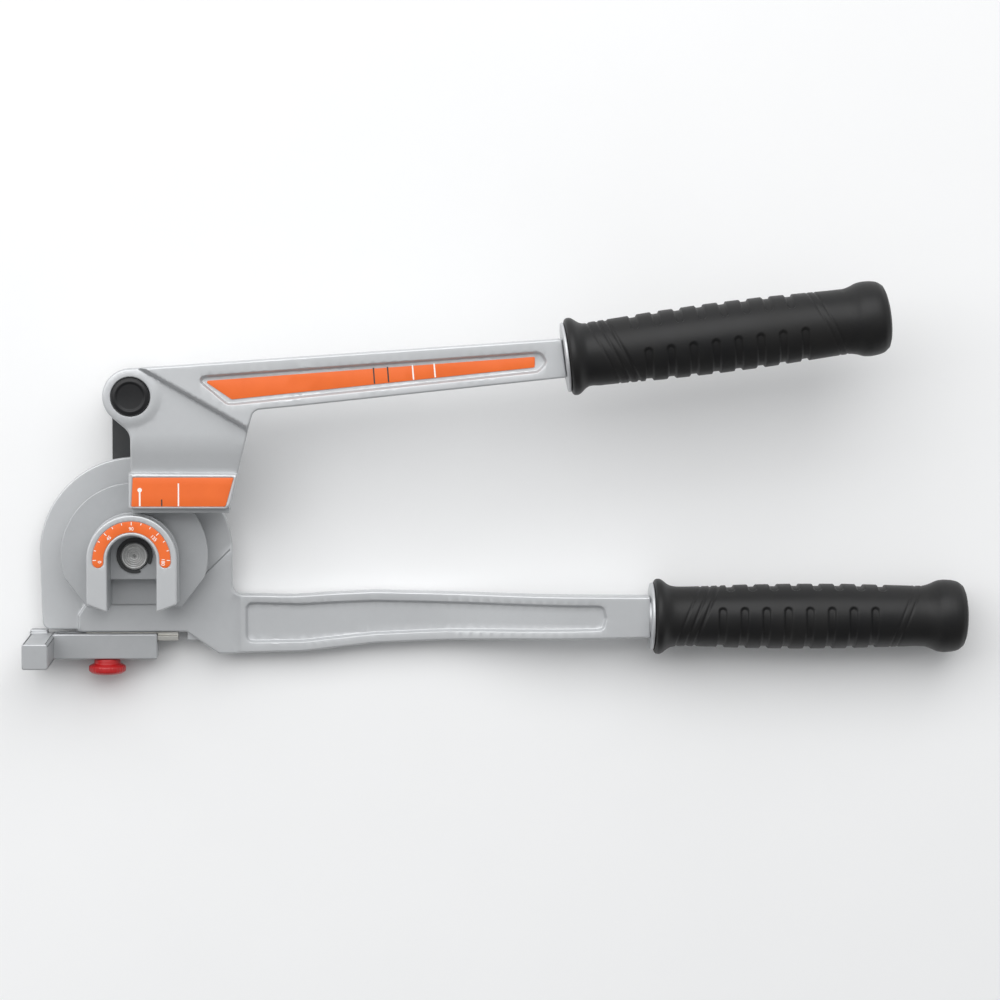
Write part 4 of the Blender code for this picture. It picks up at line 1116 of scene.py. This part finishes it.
rubber = finish(
    "grip_rubber", (0.0085, 0.0085, 0.009), (0.013, 0.0125, 0.012), 0.40, 0.12, 1300, 0.00005, 35, shine=0.3
)
lower_grip_low, lower_grip_high = span("lower_grip")
lower_axis = Matrix.Translation(
    (lower_grip_low.x, (lower_grip_low.y + lower_grip_high.y) / 2, (lower_grip_low.z + lower_grip_high.z) / 2)
) @ AXIS_X
UPPER_TILT, UPPER_MOUTH = radians(7.4), Vector((242.8, 114.6, 67.3))
upper_axis = Matrix.Translation(UPPER_MOUTH) @ Matrix.Rotation(UPPER_TILT, 4, "Z") @ AXIS_X
COLLAR = soft_corners([(0, -0.3), (19.4, -0.3), (19.4, -1.9), (0, -1.9)], 0.6)
for side, axis, body, roll, swell in (
    ("lower", lower_axis, "base", 158.0, 0.0),
    ("upper", upper_axis, "upper_handle", 0.0, 0.05),
):
    shell = grip_shell(axis, roll, swell)
    piece(side + "_rubber_grip", shell, rubber, body, [side + "_grip"], 60)
    disc = placed(turned(COLLAR), axis)
    node = side + "_grip_collar"
    piece(node + "_disc", disc, silver_paint, body, [node], 40)


# ---- Lock knob, plunger and spring ----
# A red moulded knob pulls the steel plunger out of the rail's slot against its coil spring. The head is a
# thick disc with a fluted rim on a short neck.

knob_low, knob_high = span("lock_knob")
knob_x, knob_z = (knob_low.x + knob_high.x) / 2, (knob_low.z + knob_high.z) / 2
knob_radius = (knob_high.x - knob_low.x) / 2
knob_place = Matrix.Translation((knob_x, 0, knob_z)) @ AXIS_Y
red_plastic = finish(
    "red_plastic", (0.50, 0.010, 0.012), (0.42, 0.008, 0.010), 0.3, 0.12, 1500, 0.00002, 70, coat=0.2
)
knob_profile = soft_corners(
    [
        (0, knob_low.y),
        (8.4, knob_low.y),
        (knob_radius, knob_low.y + 1.5),
        (knob_radius, knob_low.y + 4.5),
        (8.4, knob_low.y + 5.5),
        (7.5, knob_low.y + 5.8),
        (7.3, knob_high.y),
        (0, knob_high.y),
    ],
    0.9,
    6,
)
knob_shell = turned(knob_profile, 192)
FLUTES, FLUTE_DEPTH = 32, 0.22
for vert in knob_shell.verts:
    r = vert.co.xy.length
    if r > knob_radius - 1.0:
        angle = atan2(vert.co.y, vert.co.x)
        share = (r - knob_radius + 1.0) * (0.5 - 0.5 * cos(FLUTES * angle))
        vert.co.xy *= 1 - FLUTE_DEPTH * share / r
knob = placed(knob_shell, knob_place)
piece("lock_knob_moulded", knob, red_plastic, "lock", ["lock_knob"], 50)

for node, body, metal in (
    ("lock_plunger", "lock", turned_steel),
    ("plunger_spring", "hook", zinc),
):
    piece(node + "_finished", softened(node, 0.08, 60, 1), metal, body, [node], 50)


# ---- Screws ----
# Zinc-plated machine screws with a socket in the head. They come in from the back of the tool, or from
# below for the rail.


def screw_shell(low, high, head, shank, head_length, taper):
    """A screw about z with its head at the low end."""
    socket = head * 0.42
    profile = [(0.0, low + 1.1), (socket, low + 1.1), (socket, low), (head * 0.9, low), (head, low + 0.25)]
    if taper:
        profile += [(shank, low + head_length)]
    else:
        profile += [(head, low + head_length), (shank, low + head_length)]
    profile += [(shank, high - 0.4), (shank - 0.4, high), (0.0, high)]
    return turned(profile, 36)


for node, body, sizes in (
    ("die_screw_1", "base", (3.8, 2.0, 1.6, True)),
    ("die_screw_2", "base", (3.8, 2.0, 1.6, True)),
    ("die_screw_3", "base", (3.8, 2.0, 1.6, True)),
    ("dial_screw_left", "base", (2.9, 1.5, 2.9, False)),
    ("dial_screw_right", "base", (2.9, 1.5, 2.9, False)),
    ("shoe_screw_left", "upper_handle", (4.3, 2.0, 4.1, False)),
    ("shoe_screw_right", "upper_handle", (4.3, 2.0, 4.1, False)),
):
    low, high = span(node)
    high.z = min(high.z, CHEEK_BACK)
    place = Matrix.Translation(((low.x + high.x) / 2, (low.y + high.y) / 2, 0))
    piece(node + "_plated", placed(screw_shell(low.z, high.z, *sizes), place), zinc, body, [node], 30)
for node in ("rail_screw_left", "rail_screw_right"):
    low, high = span(node)
    place = Matrix.Translation(((low.x + high.x) / 2, 0, (low.z + high.z) / 2)) @ AXIS_Y
    shell = screw_shell(low.y, high.y, 2.5, 1.3, 1.4, True)
    piece(node + "_plated", placed(shell, place), zinc, "base", [node], 30)


# ---- Studio ----
# A pale floor, a large soft light beyond the moving handle, a weak one at the hook's side, and a camera that
# looks down on the tool from a little off upright.

FLOOR_HALF, LENS, SENSOR = 3.0, 114.67, 36.0
CAMERA_PLACE, CAMERA_AIM = Vector((0.1212, 0.1879, 1.8339)), Vector((0.2080, 0.0304, 0.0155))
floor_mesh = bpy.data.meshes.new("floor")
floor_mesh.from_pydata(
    [(x, y, -0.0006) for x, y in ((-1, -1), (1, -1), (1, 1), (-1, 1))], [], [(0, 1, 2, 3)]
)
floor_mesh.transform(Matrix.Scale(FLOOR_HALF, 4, (1, 0, 0)) @ Matrix.Scale(FLOOR_HALF, 4, (0, 1, 0)))
floor = bpy.data.objects.new("floor", floor_mesh)
bpy.context.scene.collection.objects.link(floor)
floor_mesh.materials.append(
    finish("floor_paper", (0.90, 0.90, 0.90), (0.88, 0.88, 0.88), 0.9, 0.05, 800, 0.00001, 4)
)
floor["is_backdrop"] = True
world = bpy.data.worlds.new("studio")
bpy.context.scene.world = world
world.use_nodes = True
sky = world.node_tree
direction = sky.nodes.new("ShaderNodeTexCoord")
parts = sky.nodes.new("ShaderNodeSeparateXYZ")
shade = sky.nodes.new("ShaderNodeMapRange")
for name, value in (("From Min", -0.5), ("From Max", 0.7), ("To Min", 0.2), ("To Max", 0.95)):
    shade.inputs[name].default_value = value
sky.links.new(direction.outputs["Generated"], parts.inputs["Vector"])
sky.links.new(parts.outputs["Y"], shade.inputs["Value"])
sky.links.new(shade.outputs["Result"], sky.nodes["Background"].inputs["Strength"])
sky.nodes["Background"].inputs["Color"].default_value = (0.97, 0.985, 1.0, 1)
bpy.context.scene.view_settings.view_transform = "Standard"


def lamp(name, place, aim, size, power):
    light = bpy.data.lights.new(name, "AREA")
    light.shape = "RECTANGLE"
    light.size, light.size_y = size
    light.energy = power
    obj = bpy.data.objects.new(name, light)
    bpy.context.scene.collection.objects.link(obj)
    obj.location = place
    obj.rotation_euler = (Vector(aim) - Vector(place)).to_track_quat("-Z", "Y").to_euler()
    obj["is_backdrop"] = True


lamp("key_light", (-0.1, 1.3, 1.7), (0.15, 0.05, 0), (3.2, 1.8), 40)
lamp("side_light", (-1.1, 0.3, 0.9), (0.1, 0.0, 0), (0.5, 1.2), 2)

camera_data = bpy.data.cameras.new("camera")
camera_data.lens, camera_data.sensor_width = LENS, SENSOR
camera = bpy.data.objects.new("camera", camera_data)
bpy.context.scene.collection.objects.link(camera)
back = (CAMERA_PLACE - CAMERA_AIM).normalized()
right = (Vector((1, 0, 0)) - back * back.x).normalized()
camera.matrix_world = (
    Matrix.Translation(CAMERA_PLACE) @ Matrix((right, back.cross(right), back)).transposed().to_4x4()
)
bpy.context.scene.camera = camera

low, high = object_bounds()
